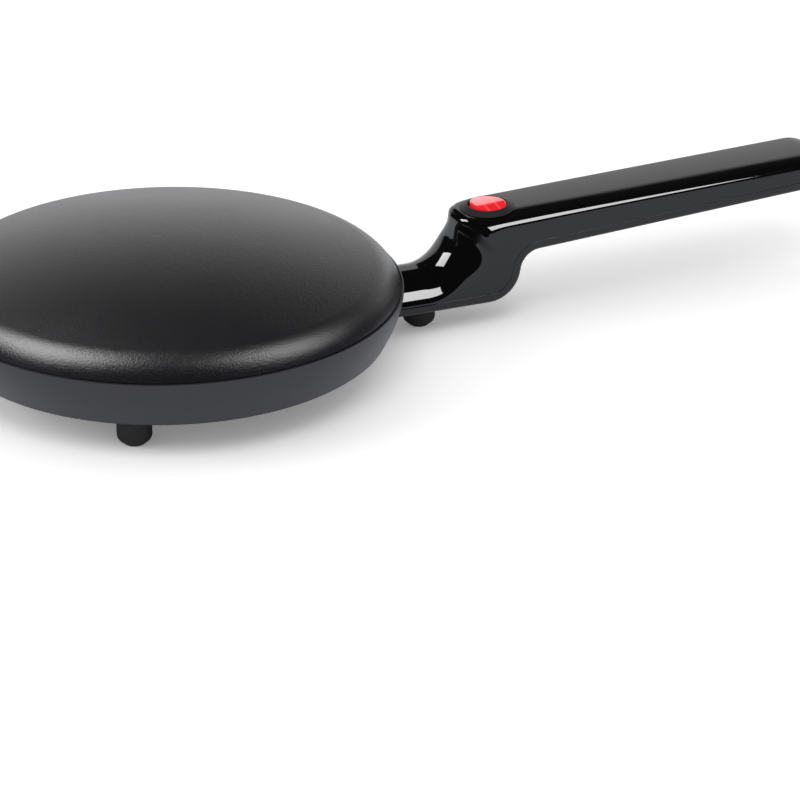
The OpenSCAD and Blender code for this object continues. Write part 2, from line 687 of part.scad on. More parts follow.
// The space under a line that runs a distance inside the underside
module lower_room(lift) {
    line = under_line(lift);
    steps = 10;
    function bend(i) = [for (k = [0:steps])
        on_line(line, line[i][0] + (line[i + 1][0] - line[i][0]) * k / steps)];
    path = concat(bend(1), bend(3));
    end_z = level_at(line, lower_end_u);
    rotate([90, 0, 0]) linear_extrude(height = 2 * span_half_w, center = true) polygon(concat(
        [[root_u - 10, foot_gap + lift]], [for (p = path) [p[0], p[1]]],
        [[lower_end_u, end_z], [lower_end_u, 0], [root_u - 10, 0]]));
}

module shell_screw_at(lift = 0) for (u = shell_screw_us) translate([u, 0, joint_z(u) - lift]) children();

module handle_upper_shell() color([0.02, 0.02, 0.025]) placed() difference() {
    union() {
        difference() {
            handle_form(0, outer_stations, 6);
            difference() {
                inner_form(handle_t);
                bar(handle_end_u - end_wall, handle_end_u + over, 2 * span_half_w, 0, 2 * span_h);
            }
            lower_room(lower_shell_h);
            base_room();
        }
        intersection() {
            inner_form(handle_t / 2);
            shell_screw_at() post(shell_boss_r, 0, span_h);
        }
    }
    shell_screw_at() post(small_screw_r + screw_gap, -over, shell_screw_l);
    at_switch() post(barrel_r + barrel_gap, -barrel_h - 2, span_h);
    at_switch() post(bezel_r + bezel_gap, -bezel_seat, span_h);
    translate([handle_end_u, 0, cord_z]) rotate([0, 90, 0])
        cylinder(r = cord_hole_r, h = 4 * end_wall, center = true);
}

module handle_lower_shell() color([0.02, 0.02, 0.025]) placed() {
    difference() {
        union() {
            difference() {
                intersection() {
                    handle_form(0, outer_stations, 6);
                    lower_room(lower_shell_h - joint_gap);
                }
                inner_form(handle_t);
                base_room();
            }
            shell_screw_at(lower_shell_h) post(lower_boss_r, 1, lower_shell_h);
            translate([neck_bracket_us[1], 0, 0]) post(shell_boss_r, foot_gap + 1, neck_bracket_z);
        }
        shell_screw_at(lower_shell_h) {
            post(small_head_r + head_gap, -2, shell_head_depth);
            post(small_screw_r + screw_gap, 0, lower_shell_h + over);
        }
        translate([neck_bracket_us[1], 0, neck_bracket_z]) hole_down(small_screw_l - 1.5);
        translate([neck_foot_u, 0, 0]) foot_socket();
    }
}

module handle_screws() color([0.75, 0.75, 0.77]) placed() shell_screw_at(lower_shell_h - shell_head_depth)
    small_screw(shell_screw_l);

module handle_bracket() color([0.66, 0.67, 0.68]) placed() difference() {
    top_z = neck_bracket_z + neck_bracket_t;
    bar(neck_bracket_us[0] - bracket_ends[0], neck_bracket_us[1] + bracket_ends[1],
        neck_bracket_w, neck_bracket_z, top_z);
    for (u = neck_bracket_us) translate([u, 0, 0])
        post(small_screw_r + screw_gap, neck_bracket_z - over, top_z + over);
}

module bracket_screws() color([0.75, 0.75, 0.77]) placed() for (u = neck_bracket_us)
    translate([u, 0, neck_bracket_z + neck_bracket_t]) mirror([0, 0, 1])
        screw(small_screw_r, small_screw_l, small_head_r, small_head_h * 0.8);

module terminal_block() color([0.85, 0.85, 0.82]) placed() difference() {
    bar(block_u - block_l / 2, block_u + block_l / 2, block_w, block_z, block_z + block_h);
    for (y = [-block_pitch, block_pitch]) translate([block_u, y, block_axis_z]) {
        rotate([0, 90, 0]) cylinder(r = block_bore_r, h = block_l + 2 * over, center = true);
        for (x = [-block_screw_x, block_screw_x]) translate([x, 0, 0])
            cylinder(r = block_screw_r + screw_gap / 2, h = block_h);
    }
}

module terminal_screws() color([0.75, 0.7, 0.5]) placed()
    for (x = [-block_screw_x, block_screw_x], y = [-block_pitch, block_pitch])
        translate([block_u + x, y, block_axis_z + block_bore_r])
            cylinder(r = block_screw_r, h = block_screw_h);

// Switch

// One terminal's strip, from one height to another
module strip(x, low, high) bar(x - terminal_t / 2, x + terminal_t / 2, terminal_w, low, high);

module switch_body() color([0.14, 0.14, 0.145]) placed() at_switch() difference() {
    rotate_extrude() polygon([[0, -barrel_h], [barrel_r, -barrel_h], [barrel_r, 0], [bezel_r, 0],
        [bezel_r, bezel_edge_h], [opening_r + bezel_edge_h, bezel_h], [opening_r, bezel_h],
        [opening_r, barrel_floor - barrel_h], [0, barrel_floor - barrel_h]]);
    translate([0, 0, pivot_h]) rotate([90, 0, 0])
        cylinder(r = trunnion_r + trunnion_gap, h = 2 * (barrel_r - 0.4), center = true);
    for (x = terminal_xs)
        strip(x, -barrel_h - over, -barrel_h + barrel_floor + over);
}

module switch_terminals() color([0.8, 0.7, 0.4]) placed() at_switch() difference() {
    low = -barrel_h - terminal_l;
    union() {
        for (x = terminal_xs) strip(x, low, seesaw_h + (x == 0 ? cradle_top : fixed_contact_top));
        bar(-cradle_half_l, cradle_half_l, terminal_w, seesaw_h + cradle_top - 1, seesaw_h + cradle_top);
    }
    translate([0, 0, seesaw_h]) rotate([90, 0, 0])
        cylinder(r = fulcrum_r + fulcrum_gap, h = terminal_w + 2 * over, center = true);
}

module contact_seesaw() color([0.8, 0.6, 0.35]) placed() at_switch() translate([0, 0, seesaw_h])
    rotate([0, -seesaw_tilt, 0]) {
        bar(-seesaw_half_l, seesaw_half_l, seesaw_w, seesaw_low, seesaw_low + seesaw_t);
        intersection() {
            rotate([90, 0, 0]) cylinder(r = fulcrum_r, h = seesaw_w, center = true);
            bar(-2 * fulcrum_r, 2 * fulcrum_r, 2 * seesaw_w, -2 * fulcrum_r, seesaw_low + seesaw_t / 2);
        }
        for (x = [terminal_xs[0], terminal_xs[2]]) translate([x, 0, 0])
            post(contact_r, seesaw_low - contact_t, seesaw_low + eps);
    }

module rocker_solid(r, top) intersection() {
    post(r, carrier_low, top);
    translate([0, 0, top - lens_curve_r]) rotate([0, 90, 0])
        cylinder(r = lens_curve_r, h = 4 * r, center = true, $fn = 180);
}

module rocker_lens() color([0.85, 0.06, 0.08]) placed() at_rocker() difference() {
    rocker_solid(rocker_r, lens_top);
    rocker_solid(rocker_r - lens_t, lens_top - lens_t);
    post(2 * rocker_r, 2 * carrier_low, lens_low);
}

module rocker_carrier() color([0.9, 0.9, 0.88]) placed() at_rocker() difference() {
    union() {
        post(rocker_r, carrier_low, lens_low);
        post(socket_r, carrier_low - 3, carrier_low + over);
        translate([0, 0, pivot_h]) rotate([90, 0, 0])
            cylinder(r = trunnion_r, h = 2 * (barrel_r - 1), center = true);
    }
    post(plunger_r + 0.15, carrier_low - 3 - over, -3.5);
}

module rocker_plunger() color([0.85, 0.85, 0.8]) placed() at_rocker() {
    post(plunger_r, plunger_tip, -6.1);
    translate([0, 0, plunger_tip]) sphere(r = plunger_r, $fn = 48);
}

module rocker_spring() color([0.7, 0.7, 0.72]) placed() at_rocker() translate([0, 0, -6.1 + spring_wire_r]) {
    coil_r = plunger_r - spring_wire_r - 0.05;
    for (i = [0:spring_turns - 1]) translate([0, 0, spring_pitch * i]) rotate_extrude($fn = 48)
        translate([coil_r, 0]) circle(r = spring_wire_r, $fn = 16);
    for (i = [0:spring_turns - 2]) translate([coil_r, 0, spring_pitch * i])
        cylinder(r = spring_wire_r * 0.8, h = spring_pitch, $fn = 16);
}

module neon_lamp() color([0.95, 0.6, 0.4]) placed() at_rocker() translate([0, 0, lens_low + lamp_r])
    rotate([0, 90, 0]) cylinder(r = lamp_r, h = lamp_l, center = true);
lamp_r = 1.2;
lamp_l = 9;

// Leads, [distance from the axis of the plate, y, z]

lead_end_h = -barrel_h - terminal_l - 0.15;
switched_end = switch_point(terminal_xs[0], lead_end_h);
supply_end = switch_point(terminal_xs[1], lead_end_h);
tab_z = bracket_z - thermostat_base_h - 3;
fuse_end = fuse_l / 2;
function beyond_ring(d, y, z) = [ring_r + d, y, z];
lead_supply_points = [beyond_ring(76, 4, 42.2), beyond_ring(70, 4, 42), beyond_ring(65.5, 6, 41),
    beyond_ring(62, 6.8, 38), beyond_ring(57, 5.4, 32), beyond_ring(54.4, 4.4, 27),
    beyond_ring(52.2, 2.6, 24.4), [supply_end[0], 0.5, supply_end[1] - 3], [supply_end[0], 0, supply_end[1]]];
lead_switched_points = [[switched_end[0], 0, switched_end[1]], [switched_end[0], 0.4, switched_end[1] - 2.4],
    beyond_ring(42.4, 3, 23.6), beyond_ring(38, 5.4, 22.4), beyond_ring(29, 6.2, 22.7),
    beyond_ring(15, 6, 22.7), beyond_ring(0, 5.6, 22.7), beyond_ring(-10, 5.6, 22.7),
    beyond_ring(-20, 5.6, 24.5), beyond_ring(-29, 5, 29), beyond_ring(-36, 4, 34.5), [50, 2, 35.5],
    [30, 0.5, 35.5], [12, 0, tab_z], [tab_x + tab_t / 2, 0, tab_z]];
lead_thermostat_points = [[-tab_x - tab_t / 2, 0, tab_z], [-7, 0, tab_z], [-11, -3, 35], [-18, -9, 37],
    [-27, -16, 41], [fuse_x, -17, 44], [fuse_x, -14, fuse_axis_z], [fuse_x, -fuse_end, fuse_axis_z]];
lead_fuse_points = [[fuse_x, fuse_end, fuse_axis_z], [fuse_x, 14, fuse_axis_z], [-26, 20, 41], [-12, 30, 37],
    [8, 34, 36.5], [28, 32, 36.5], [46, 26, 36.5], [57, 18, 37], [61, 10.5, 39.5],
    [60.7, 9.3, 43], [59.4, 12, 44.5]];
lead_return_points = [[59.4, -12, 44.5], [60.8, -9.3, 43],
    beyond_ring(-37, -7.6, 38), beyond_ring(-34, -6.4, 33),
    beyond_ring(-28, -5.8, 28), beyond_ring(-20, -5.6, 24.5), beyond_ring(-10, -5.6, 22.7),
    beyond_ring(0, -5.6, 22.7), beyond_ring(15, -6, 22.7), beyond_ring(29, -6.2, 22.7),
    beyond_ring(40, -6, 22.4), beyond_ring(47, -6.6, 24.5), beyond_ring(53, -7.6, 30),
    beyond_ring(58.6, -8.2, 35.5), beyond_ring(64.5, -6, 40.6), beyond_ring(70, -4, 42),
    beyond_ring(76, -4, 42.2)];

module lead_supply() color([0.25, 0.15, 0.1]) placed() lead(lead_supply_points);
module lead_switched() color([0.6, 0.6, 0.6]) placed() lead(lead_switched_points);
module lead_thermostat() color([0.6, 0.6, 0.6]) placed() lead(lead_thermostat_points);
module lead_fuse() color([0.6, 0.6, 0.6]) placed() lead(lead_fuse_points);
module lead_return() color([0.15, 0.25, 0.5]) placed() lead(lead_return_points);

// Feet

module foot() {
    top_z = foot_gap + cover_t;
    barb_r = foot_stem_r + foot_barb;
    shoulder = foot_r - foot_step_r;
    rotate_extrude() polygon(concat([[0, 0]],
        arc(foot_face_r, foot_step_h, foot_step_h, -90, 0, 6),
        [for (a = [0:11.25:90]) [foot_step_r + shoulder * sin(a), foot_step_h + foot_round_h * (1 - cos(a))]],
        [[foot_r, foot_gap], [foot_stem_r, foot_gap], [foot_stem_r, top_z], [barb_r, top_z + 0.3],
            [0.5 * barb_r, foot_gap + foot_stem_h], [0, foot_gap + foot_stem_h]]));
}
module foot_socket() post(foot_stem_r + 0.1, foot_gap - over, foot_gap + foot_stem_h);

module foot_left() color([0.05, 0.05, 0.05]) placed() around(foot_ring_r, [foot_angles[0]]) foot();
module foot_right() color([0.05, 0.05, 0.05]) placed() around(foot_ring_r, [foot_angles[1]]) foot();
module foot_neck() color([0.05, 0.05, 0.05]) placed() translate([neck_foot_u, 0, 0]) foot();

griddle_plate();
rim_seal();
base_ring();
bottom_cover();
heat_reflector();
heating_element();
heater_clamps();
clamp_screws();
thermostat_cup();
thermostat_base();
thermostat_bracket();
thermostat_screws();
thermal_fuse();
fuse_clip();
fuse_screw();
plate_spacers();
plate_screws();
handle_bracket();
bracket_screws();
handle_upper_shell();
handle_lower_shell();
handle_screws();
terminal_block();
terminal_screws();
switch_body();
switch_terminals();
rocker_lens();
rocker_carrier();
rocker_plunger();
rocker_spring();
neon_lamp();
contact_seesaw();
lead_supply();
lead_switched();
lead_thermostat();
lead_fuse();
lead_return();
foot_left();
foot_right();
foot_neck();
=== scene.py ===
import json
from math import acos, asin, cos, pi, radians, sin, sqrt, tan

import bmesh
import bpy
from bpy.props import FloatProperty, FloatVectorProperty, PointerProperty
from mathutils import Matrix, Vector


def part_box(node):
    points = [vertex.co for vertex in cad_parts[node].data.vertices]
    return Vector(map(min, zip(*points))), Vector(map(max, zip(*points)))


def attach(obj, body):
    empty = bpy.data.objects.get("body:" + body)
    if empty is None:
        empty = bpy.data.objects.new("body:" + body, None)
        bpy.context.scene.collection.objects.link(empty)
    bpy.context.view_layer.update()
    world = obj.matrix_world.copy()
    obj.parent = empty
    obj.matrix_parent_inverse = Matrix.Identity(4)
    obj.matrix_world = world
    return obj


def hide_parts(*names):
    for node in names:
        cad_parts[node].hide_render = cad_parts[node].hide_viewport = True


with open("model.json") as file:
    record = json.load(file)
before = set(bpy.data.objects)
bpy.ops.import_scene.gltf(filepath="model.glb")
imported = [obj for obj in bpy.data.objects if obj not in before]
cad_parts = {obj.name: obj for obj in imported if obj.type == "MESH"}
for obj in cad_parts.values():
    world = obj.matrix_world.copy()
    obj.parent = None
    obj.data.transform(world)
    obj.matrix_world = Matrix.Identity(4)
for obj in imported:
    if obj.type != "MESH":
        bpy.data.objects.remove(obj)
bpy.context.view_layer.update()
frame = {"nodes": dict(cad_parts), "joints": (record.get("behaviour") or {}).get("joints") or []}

bl_info = {
    "name": "Crepe Maker",
    "version": (1, 0, 0),
    "blender": (4, 5, 0),
    "location": "View3D > Sidebar > Crepe Maker",
    "description": "Dresses an electric crepe maker: domed plate, base, cranked handle and lit switch",
    "category": "Object",
}

# Lengths are in metres, in the frame of the CAD model: +X runs along the handle, +Z is up.
MM = 0.001
TINY = 1e-7


def span(node):
    """Lowest and highest corner of a CAD node."""
    low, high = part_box(node)
    return Vector(low), Vector(high)


def middle(node):
    """Middle of a CAD node, seen from above."""
    low, high = span(node)
    return (low.x + high.x) / 2, (low.y + high.y) / 2


def radius_of(node):
    """Radius of a round CAD node, across the handle's direction."""
    low, high = span(node)
    return (high.y - low.y) / 2


# What the frame gives: levels, the axis of the plate and the main radii
RING_LOW, RING_HIGH = span("base_ring")
SEAL_LOW, SEAL_HIGH = span("rim_seal")
BRACKET_LOW, BRACKET_HIGH = span("handle_bracket")
SHELL_HIGH = span("handle_upper_shell")[1]
AXIS_X = middle("base_ring")[0]
CROWN_Z = span("griddle_plate")[1].z
SEAM_Z = RING_HIGH.z
RING_FOOT_Z = RING_LOW.z
UNDERSIDE_Z = span("bottom_cover")[0].z
RING_R = radius_of("base_ring")
PLATE_R = radius_of("griddle_plate")
SKIRT_R = radius_of("rim_seal")
HANDLE_END = SHELL_HIGH.x - AXIS_X
HALF_W = SHELL_HIGH.y
PIVOT = Vector(next(joint for joint in frame["joints"] if joint["name"] == "rocker_tilt")["pos_m"])

# Sizes that several pieces share
ROOM = 1 * MM             # how far a cutter reaches past what it cuts
SCREW_R = 1.5 * MM        # hole of a small screw
SCREW_DEPTH = 6 * MM      # depth of such a hole in the plate's bosses
TUBE_R = 3.3 * MM         # heating tube
COVER_INSET = 1.1 * MM    # the cover's edge lies this far inside the ring's foot
SOCKET_R = 3 * MM         # hole for the stem of a foot
STEM_TOP = 4.4 * MM       # how far a foot's stem reaches above the underside


# Settings that a user would change


def a_length(name, description, millimetres):
    return FloatProperty(name=name, description=description, default=millimetres * MM, unit="LENGTH")


def an_angle(name, description, degrees):
    return FloatProperty(name=name, description=description, default=radians(degrees), subtype="ANGLE")


def a_colour(name, description, *default):
    return FloatVectorProperty(
        name=name, description=description, default=default, subtype="COLOR", min=0, max=1)


class PlateSettings(bpy.types.PropertyGroup):
    rim_round: a_length("Rim rounding", "Radius of the rolled edge of the plate", 16)
    rim_drop: a_length("Rim drop", "Depth of the centre of the rolled edge below the seam", 6)
    wall: a_length("Wall", "Thickness of the cast plate", 3)
    skirt_wall: a_length("Skirt wall", "Thickness of the skirt", 2.8)
    edge: a_length("Edge", "Thickness of the edge above the skirt", 0.6)
    heater_ring: a_length("Heater ring", "Radius of the ring that the heating tube follows", 60)
    colour: a_colour("Coating", "Colour of the non-stick coating", 0.0026, 0.0028, 0.0044)
    fleck_colour: a_colour("Flecks", "Colour of the flecks in the coating", 0.03, 0.031, 0.036)


class BaseSettings(bpy.types.PropertyGroup):
    ring_taper: a_length("Ring taper", "How far the ring draws in towards its bottom", 6.5)
    ring_wall: a_length("Ring wall", "Thickness of the ring", 2.2)
    seam_gap: a_length("Seam gap", "Dark gap between the plate and the ring", 0.4)
    ledge: a_length("Ledge", "Width of the ledge that carries the seal", 4.6)
    cover_wall: a_length("Cover wall", "Thickness of the bottom cover", 2.2)
    cover_slope: a_length("Cover slope", "Width of the sloping border of the cover", 10.5)
    cover_edge: a_length("Cover edge", "Depth of the cover's edge that shows under the ring", 0.9)
    ring_colour: a_colour("Ring", "Colour of the grey ring", 0.0165, 0.0162, 0.0215)
    cover_colour: a_colour("Cover", "Colour of the bottom cover", 0.012, 0.012, 0.013)


class HandleSettings(bpy.types.PropertyGroup):
    wall: a_length("Wall", "Thickness of the handle shells", 2.2)
    root_height: a_length("Root height", "Height of the root of the handle", 15.4)
    climb: a_length("Climb", "Distance from the ring to where the neck starts to climb", 14)
    climb_round: a_length("Hollow", "Radius of the hollow in front of the neck", 18)
    front_angle: an_angle("Front", "Steepness of the front of the neck", 74.7)
    shoulder_height: a_length("Shoulder height", "Height of the shoulder above the seam", 12.1)
    shoulder_round: a_length("Shoulder", "Radius of the corner of the shoulder", 4)
    top_slope: an_angle("Top slope", "Slope of the top of the handle", 2.4)
    heel: a_length("Heel", "Distance from the ring to where the underside turns up", 44)
    heel_round: a_length("Heel rounding", "Radius of the heel", 14.6)
    back_angle: an_angle("Back", "Steepness of the back of the neck", 80.3)
    back_length: a_length("Back length", "Straight length of the back of the neck", 2.4)
    grip_round: a_length("Grip hollow", "Radius of the hollow under the handle", 9.2)
    under_slope: an_angle("Underside slope", "Slope of the underside of the handle", 3.55)
    crown: a_length("Crown", "Rise of the top in the middle of its width", 0.8)
    low_edge: a_length("Low edge", "Radius of the edges along the underside", 2)
    lower_depth: a_length("Lower shell", "Depth of the lower shell", 4.5)
    joint_gap: a_length("Joint gap", "Gap between the shells along their joint", 0.15)
    end_round: a_length("End rounding", "Length of the rounded end", 8)
    end_wall: a_length("End wall", "Thickness of the end wall", 5)
    colour: a_colour("Handle", "Colour of the handle", 0.0022, 0.0022, 0.0026)


class SwitchSettings(bpy.types.PropertyGroup):
    bezel_radius: a_length("Bezel", "Radius of the bezel", 12)
    bezel_height: a_length("Bezel height", "Height of the bezel", 2)
    barrel_radius: a_length("Barrel", "Radius of the barrel behind the panel", 10.6)
    barrel_depth: a_length("Barrel depth", "Depth of the barrel", 15.5)
    rocker_radius: a_length("Rocker", "Radius of the rocker", 8.1)
    rocker_gap: a_length("Rocker gap", "Gap round the rocker", 0.6)
    lens_top: a_length("Lens top", "Height of the middle of the lens", 2.6)
    lens_curve: a_length("Lens dish", "Radius of the hollow of the lens along the handle", 160)
    lens_sweep: a_length("Lens sweep", "Radius of the arch of the lens across the handle", 60)
    lens_crest: a_length("Lens crest", "Distance of the top of the arch from the middle", 3)
    lens_wall: a_length("Lens wall", "Thickness of the lens", 1.2)
    rest_angle: an_angle("Rest angle", "Angle at which the rocker rests", 5)
    bezel_colour: a_colour("Bezel", "Colour of the bezel", 0.024, 0.024, 0.025)
    lens_colour: a_colour("Lens", "Colour of the lens", 0.62, 0.012, 0.02)


class StageSettings(bpy.types.PropertyGroup):
    camera_place: FloatVectorProperty(
        name="Camera", description="Place of the camera", subtype="XYZ", unit="LENGTH",
        default=(-0.4324, -0.9609, 0.4724))
    camera_turn: an_angle("Turn", "Turn of the camera about the vertical", -24.205)
    camera_pitch: an_angle("Pitch", "Angle at which the camera looks down", 25.777)
    camera_roll: an_angle("Roll", "Roll of the camera", 0.939)
    camera_lens: FloatProperty(
        name="Lens", description="Focal length of the camera in millimetres", default=117)
    floor_colour: a_colour("Floor", "Colour of the floor", 0.9, 0.92, 0.97)


# Mesh code


class Form:
    """Points and faces of closed surfaces."""

    def __init__(self, points, faces):
        self.points = [Vector(p) for p in points]
        self.faces = faces

    def __add__(self, other):
        shift = len(self.points)
        return Form(self.points + other.points, self.faces + [[shift + i for i in f] for f in other.faces])

    def moved(self, matrix):
        return Form([matrix @ p for p in self.points], self.faces)

    def at(self, x, y=0.0, z=0.0):
        return self.moved(Matrix.Translation((x, y, z)))


def arc(x, z, r, start, end, steps):
    """Points of an arc from one angle to another."""
    turns = [start + (end - start) * i / steps for i in range(steps + 1)]
    return [(x + r * cos(a), z + r * sin(a)) for a in turns]


def rounded(corners, steps=5):
    """A closed outline through corners, where one that gives a third number is rounded by that radius."""
    outline = []
    for i, corner in enumerate(corners):
        here = Vector(corner[:2])
        if len(corner) == 2:
            outline.append(tuple(here))
            continue
        before = (Vector(corners[i - 1][:2]) - here).normalized()
        after = (Vector(corners[(i + 1) % len(corners)][:2]) - here).normalized()
        half = before.angle(after) / 2
        centre = here + (before + after).normalized() * corner[2] / sin(half)
        reach = corner[2] / tan(half)
        start = here + before * reach - centre
        end = here + after * reach - centre
        outline += [tuple(centre + start.slerp(end, k / steps) * corner[2]) for k in range(steps + 1)]
    return outline


def revolve(outline, steps=256):
    """The solid that a closed outline of (radius, height) sweeps about the Z axis."""
    points, faces, rings = [], [], []
    for r, z in outline:
        first = len(points)
        if r < TINY:
            rings.append([first])
            points.append((0, 0, z))
            continue
        rings.append(list(range(first, first + steps)))
        points += [(r * cos(2 * pi * k / steps), r * sin(2 * pi * k / steps), z) for k in range(steps)]
    for low, high in zip(rings, rings[1:] + rings[:1]):
        for k in range(steps):
            corners = [ring[i % len(ring)] for ring, i in ((low, k), (low, k + 1), (high, k + 1), (high, k))]
            face = list(dict.fromkeys(corners))
            if len(face) > 2:
                faces.append(face)
    return Form(points, faces)


def stepped(steps, low, *sizes):
    """Upright cylinders on top of each other, each given by its radius and the height of its top."""
    outline = [(0, low)]
    for r, top in sizes:
        outline += [(r, low), (r, top)]
        low = top
    return revolve(outline + [(0, low)], steps)


def post(r, low, high, steps=64):
    """An upright cylinder from one height to another."""
    return stepped(steps, low, (r, high))


def drilled(r, low, high, hole, depth):
    """An upright cylinder with a blind hole from below."""
    return revolve([(hole, low), (r, low), (r, high), (0, high), (0, low + depth), (hole, low + depth)], 40)


def block(low, high):
    """A box between two corners."""
    points = [(x, y, z) for x in (low[0], high[0]) for y in (low[1], high[1]) for z in (low[2], high[2])]
    faces = [[0, 1, 3, 2], [4, 6, 7, 5], [0, 4, 5, 1], [2, 3, 7, 6], [0, 2, 6, 4], [1, 5, 7, 3]]
    return Form(points, faces)


def around(form, distance, angles):
    """Copies of a form at a distance from the Z axis, one at each angle."""
    copies = Form([], [])
    for a in angles:
        copies += form.at(distance).moved(Matrix.Rotation(a, 4, "Z"))
    return copies


def mesh_of(name, form):
    mesh = bpy.data.meshes.new(name)
    mesh.from_pydata(form.points, [], form.faces)
    editing = bmesh.new()
    editing.from_mesh(mesh)
    bmesh.ops.recalc_face_normals(editing, faces=editing.faces)
    editing.to_mesh(mesh)
    editing.free()
    return mesh


def make(name, form):
    """A new object from a form."""
    thing = bpy.data.objects.new(name, mesh_of(name, form))
    bpy.context.scene.collection.objects.link(thing)
    return thing


def applied(thing, kind, **values):
    """Runs one modifier on a piece and keeps the result as its mesh."""
    modifier = thing.modifiers.new(kind, kind)
    for key, value in values.items():
        setattr(modifier, key, value)
    bpy.context.view_layer.update()
    graph = bpy.context.evaluated_depsgraph_get()
    mesh = bpy.data.meshes.new_from_object(thing.evaluated_get(graph))
    old = thing.data
    thing.modifiers.clear()
    thing.data = mesh
    bpy.data.meshes.remove(old)
    mesh.name = thing.name


def combine(thing, form, operation):
    """Adds a form to a piece, or takes it away."""
    tool = make("tool", form)
    applied(thing, "BOOLEAN", object=tool, operation=operation, solver="EXACT")
    mesh = tool.data
    bpy.data.objects.remove(tool)
    bpy.data.meshes.remove(mesh)


def merge(thing, form):
    """Adds closed solids to a piece as they are."""
    editing = bmesh.new()
    editing.from_mesh(thing.data)
    extra = mesh_of("extra", form)
    editing.from_mesh(extra)
    editing.to_mesh(thing.data)
    editing.free()
    bpy.data.meshes.remove(extra)


def soften(thing, width, angle=radians(40), steps=3):
    """Rounds the sharp edges of a piece."""
    applied(thing, "BEVEL", width=width, segments=steps, limit_method="ANGLE", angle_limit=angle)


def finished(thing, material, slot, body, *nodes, crease=radians(38)):
    """Shades a piece, gives it its material and puts it in the frame."""
    thing.data.materials.clear()
    thing.data.materials.append(material)
    thing.data.shade_smooth()
    thing.data.set_sharp_from_angle(angle=crease)
    weighted = thing.modifiers.new("Weighted normals", "WEIGHTED_NORMAL")
    weighted.keep_sharp = True
    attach(thing, body)
    if nodes:
        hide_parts(*nodes)


def dress(material, *nodes):
    """Gives CAD nodes a material."""
    for name in nodes:
        materials = frame["nodes"][name].data.materials
        materials.clear()
        materials.append(material)


# Nodes


def add(tree, kind, sockets=None, **values):
    """A new node with its own settings. Each input takes a value, or a link from another node's output."""
    node = tree.nodes.new(kind)
    for key, value in values.items():
        setattr(node, key, value)
    for key, value in (sockets or {}).items():
        if isinstance(value, bpy.types.NodeSocket):
            tree.links.new(value, node.inputs[key])
        else:
            node.inputs[key].default_value = value
    return node


def maths(tree, operation, *terms, **values):
    """The result of an operation on values or outputs of other nodes."""
    return add(tree, "ShaderNodeMath", dict(enumerate(terms)), operation=operation, **values).outputs[0]


def mixed(tree, factor, a, b):
    """One colour turning into another as a factor goes from 0 to 1."""
    return add(tree, "ShaderNodeMix", {"Factor": factor, "A": a, "B": b}, data_type="RGBA").outputs["Result"]


def ramp(tree, value, interpolation="SMOOTHSTEP", **limits):
    """A value carried over from one range to another."""
    sockets = {key.replace("_", " "): limit for key, limit in limits.items()}
    node = add(tree, "ShaderNodeMapRange", {"Value": value, **sockets}, interpolation_type=interpolation)
    return node.outputs["Result"]


# Shared effects, each a node group that is built once


def shared(build, inputs):
    """The node group of an effect, built the first time it is asked for."""
    name = build.__name__
    if name in bpy.data.node_groups:
        return bpy.data.node_groups[name]
    tree = bpy.data.node_groups.new(name, "ShaderNodeTree")
    for label, value in inputs.items():
        socket = tree.interface.new_socket(label, in_out="INPUT", socket_type="NodeSocketFloat")
        socket.default_value = value
    tree.interface.new_socket("Result", in_out="OUTPUT", socket_type="NodeSocketFloat")
    given = tree.nodes.new("NodeGroupInput").outputs
    place = tree.nodes.new("ShaderNodeTexCoord").outputs["Object"]
    add(tree, "NodeGroupOutput", {"Result": build(tree, place, given)})
    return tree


def noise(tree, place, scale, detail, roughness=0.5):
    return add(tree, "ShaderNodeTexNoise", {
        "Vector": place, "Scale": scale, "Detail": detail, "Roughness": roughness}).outputs["Fac"]


def moulded_grain(tree, place, given):
    """Fine texture of a moulded or coated surface, as a height from 0 to 1."""
    fine = noise(tree, place, given["Scale"], 2.0, 0.6)
    broad = noise(tree, place, maths(tree, "MULTIPLY", given["Scale"], 0.22), 1.0)
    both = {"Factor": given["Softness"], "A": fine, "B": broad}
    return add(tree, "ShaderNodeMix", both, data_type="FLOAT").outputs["Result"]


def mottle(tree, place, given):
    """Slow cloudy variation over a surface, as a mask from 0 to 1."""
    centred = maths(tree, "SUBTRACT", noise(tree, place, given["Scale"], 4.0, 0.55), 0.5)
    return maths(tree, "ADD", maths(tree, "MULTIPLY", centred, given["Contrast"]), 0.5, use_clamp=True)


def flecks(tree, place, given):
    """Small scattered specks, as a mask from 0 to 1."""
    cells = add(tree, "ShaderNodeTexVoronoi", {"Vector": place, "Scale": given["Scale"], "Randomness": 1.0})
    spot = ramp(tree, cells.outputs["Distance"], From_Max=given["Size"], To_Min=1.0, To_Max=0.0)
    chance = add(tree, "ShaderNodeSeparateColor", {"Color": cells.outputs["Color"]}).outputs["Red"]
    return maths(tree, "MULTIPLY", spot, chance)


def drawn_lines(tree, place, given):
    """Streaks along X, as rolling and drawing leave them on metal, as a height from 0 to 1."""
    sides = add(tree, "ShaderNodeCombineXYZ", {"X": given["Stretch"], "Y": 1.0, "Z": 1.0}).outputs["Vector"]
    squeeze = add(tree, "ShaderNodeVectorMath", {0: place, 1: sides}, operation="MULTIPLY")
    return noise(tree, squeeze.outputs["Vector"], given["Scale"], 3.0, 0.6)


def painted_rib_glow(tree, place, given):
    """Two soft bands across X, a painted glow where the lamp's light would shine through a rib in the lens,
    though no rib is modelled, as a mask of up to 0.45.
    """
    x = add(tree, "ShaderNodeSeparateXYZ", {0: place}).outputs["X"]
    side = maths(tree, "ABSOLUTE", maths(tree, "SUBTRACT", x, given["Middle"]))
    past = maths(tree, "SUBTRACT", side, maths(tree, "MULTIPLY", given["Spacing"], 0.5))
    return ramp(tree, maths(tree, "ABSOLUTE", past), From_Max=given["Width"], To_Min=0.45, To_Max=0.0)


# Materials


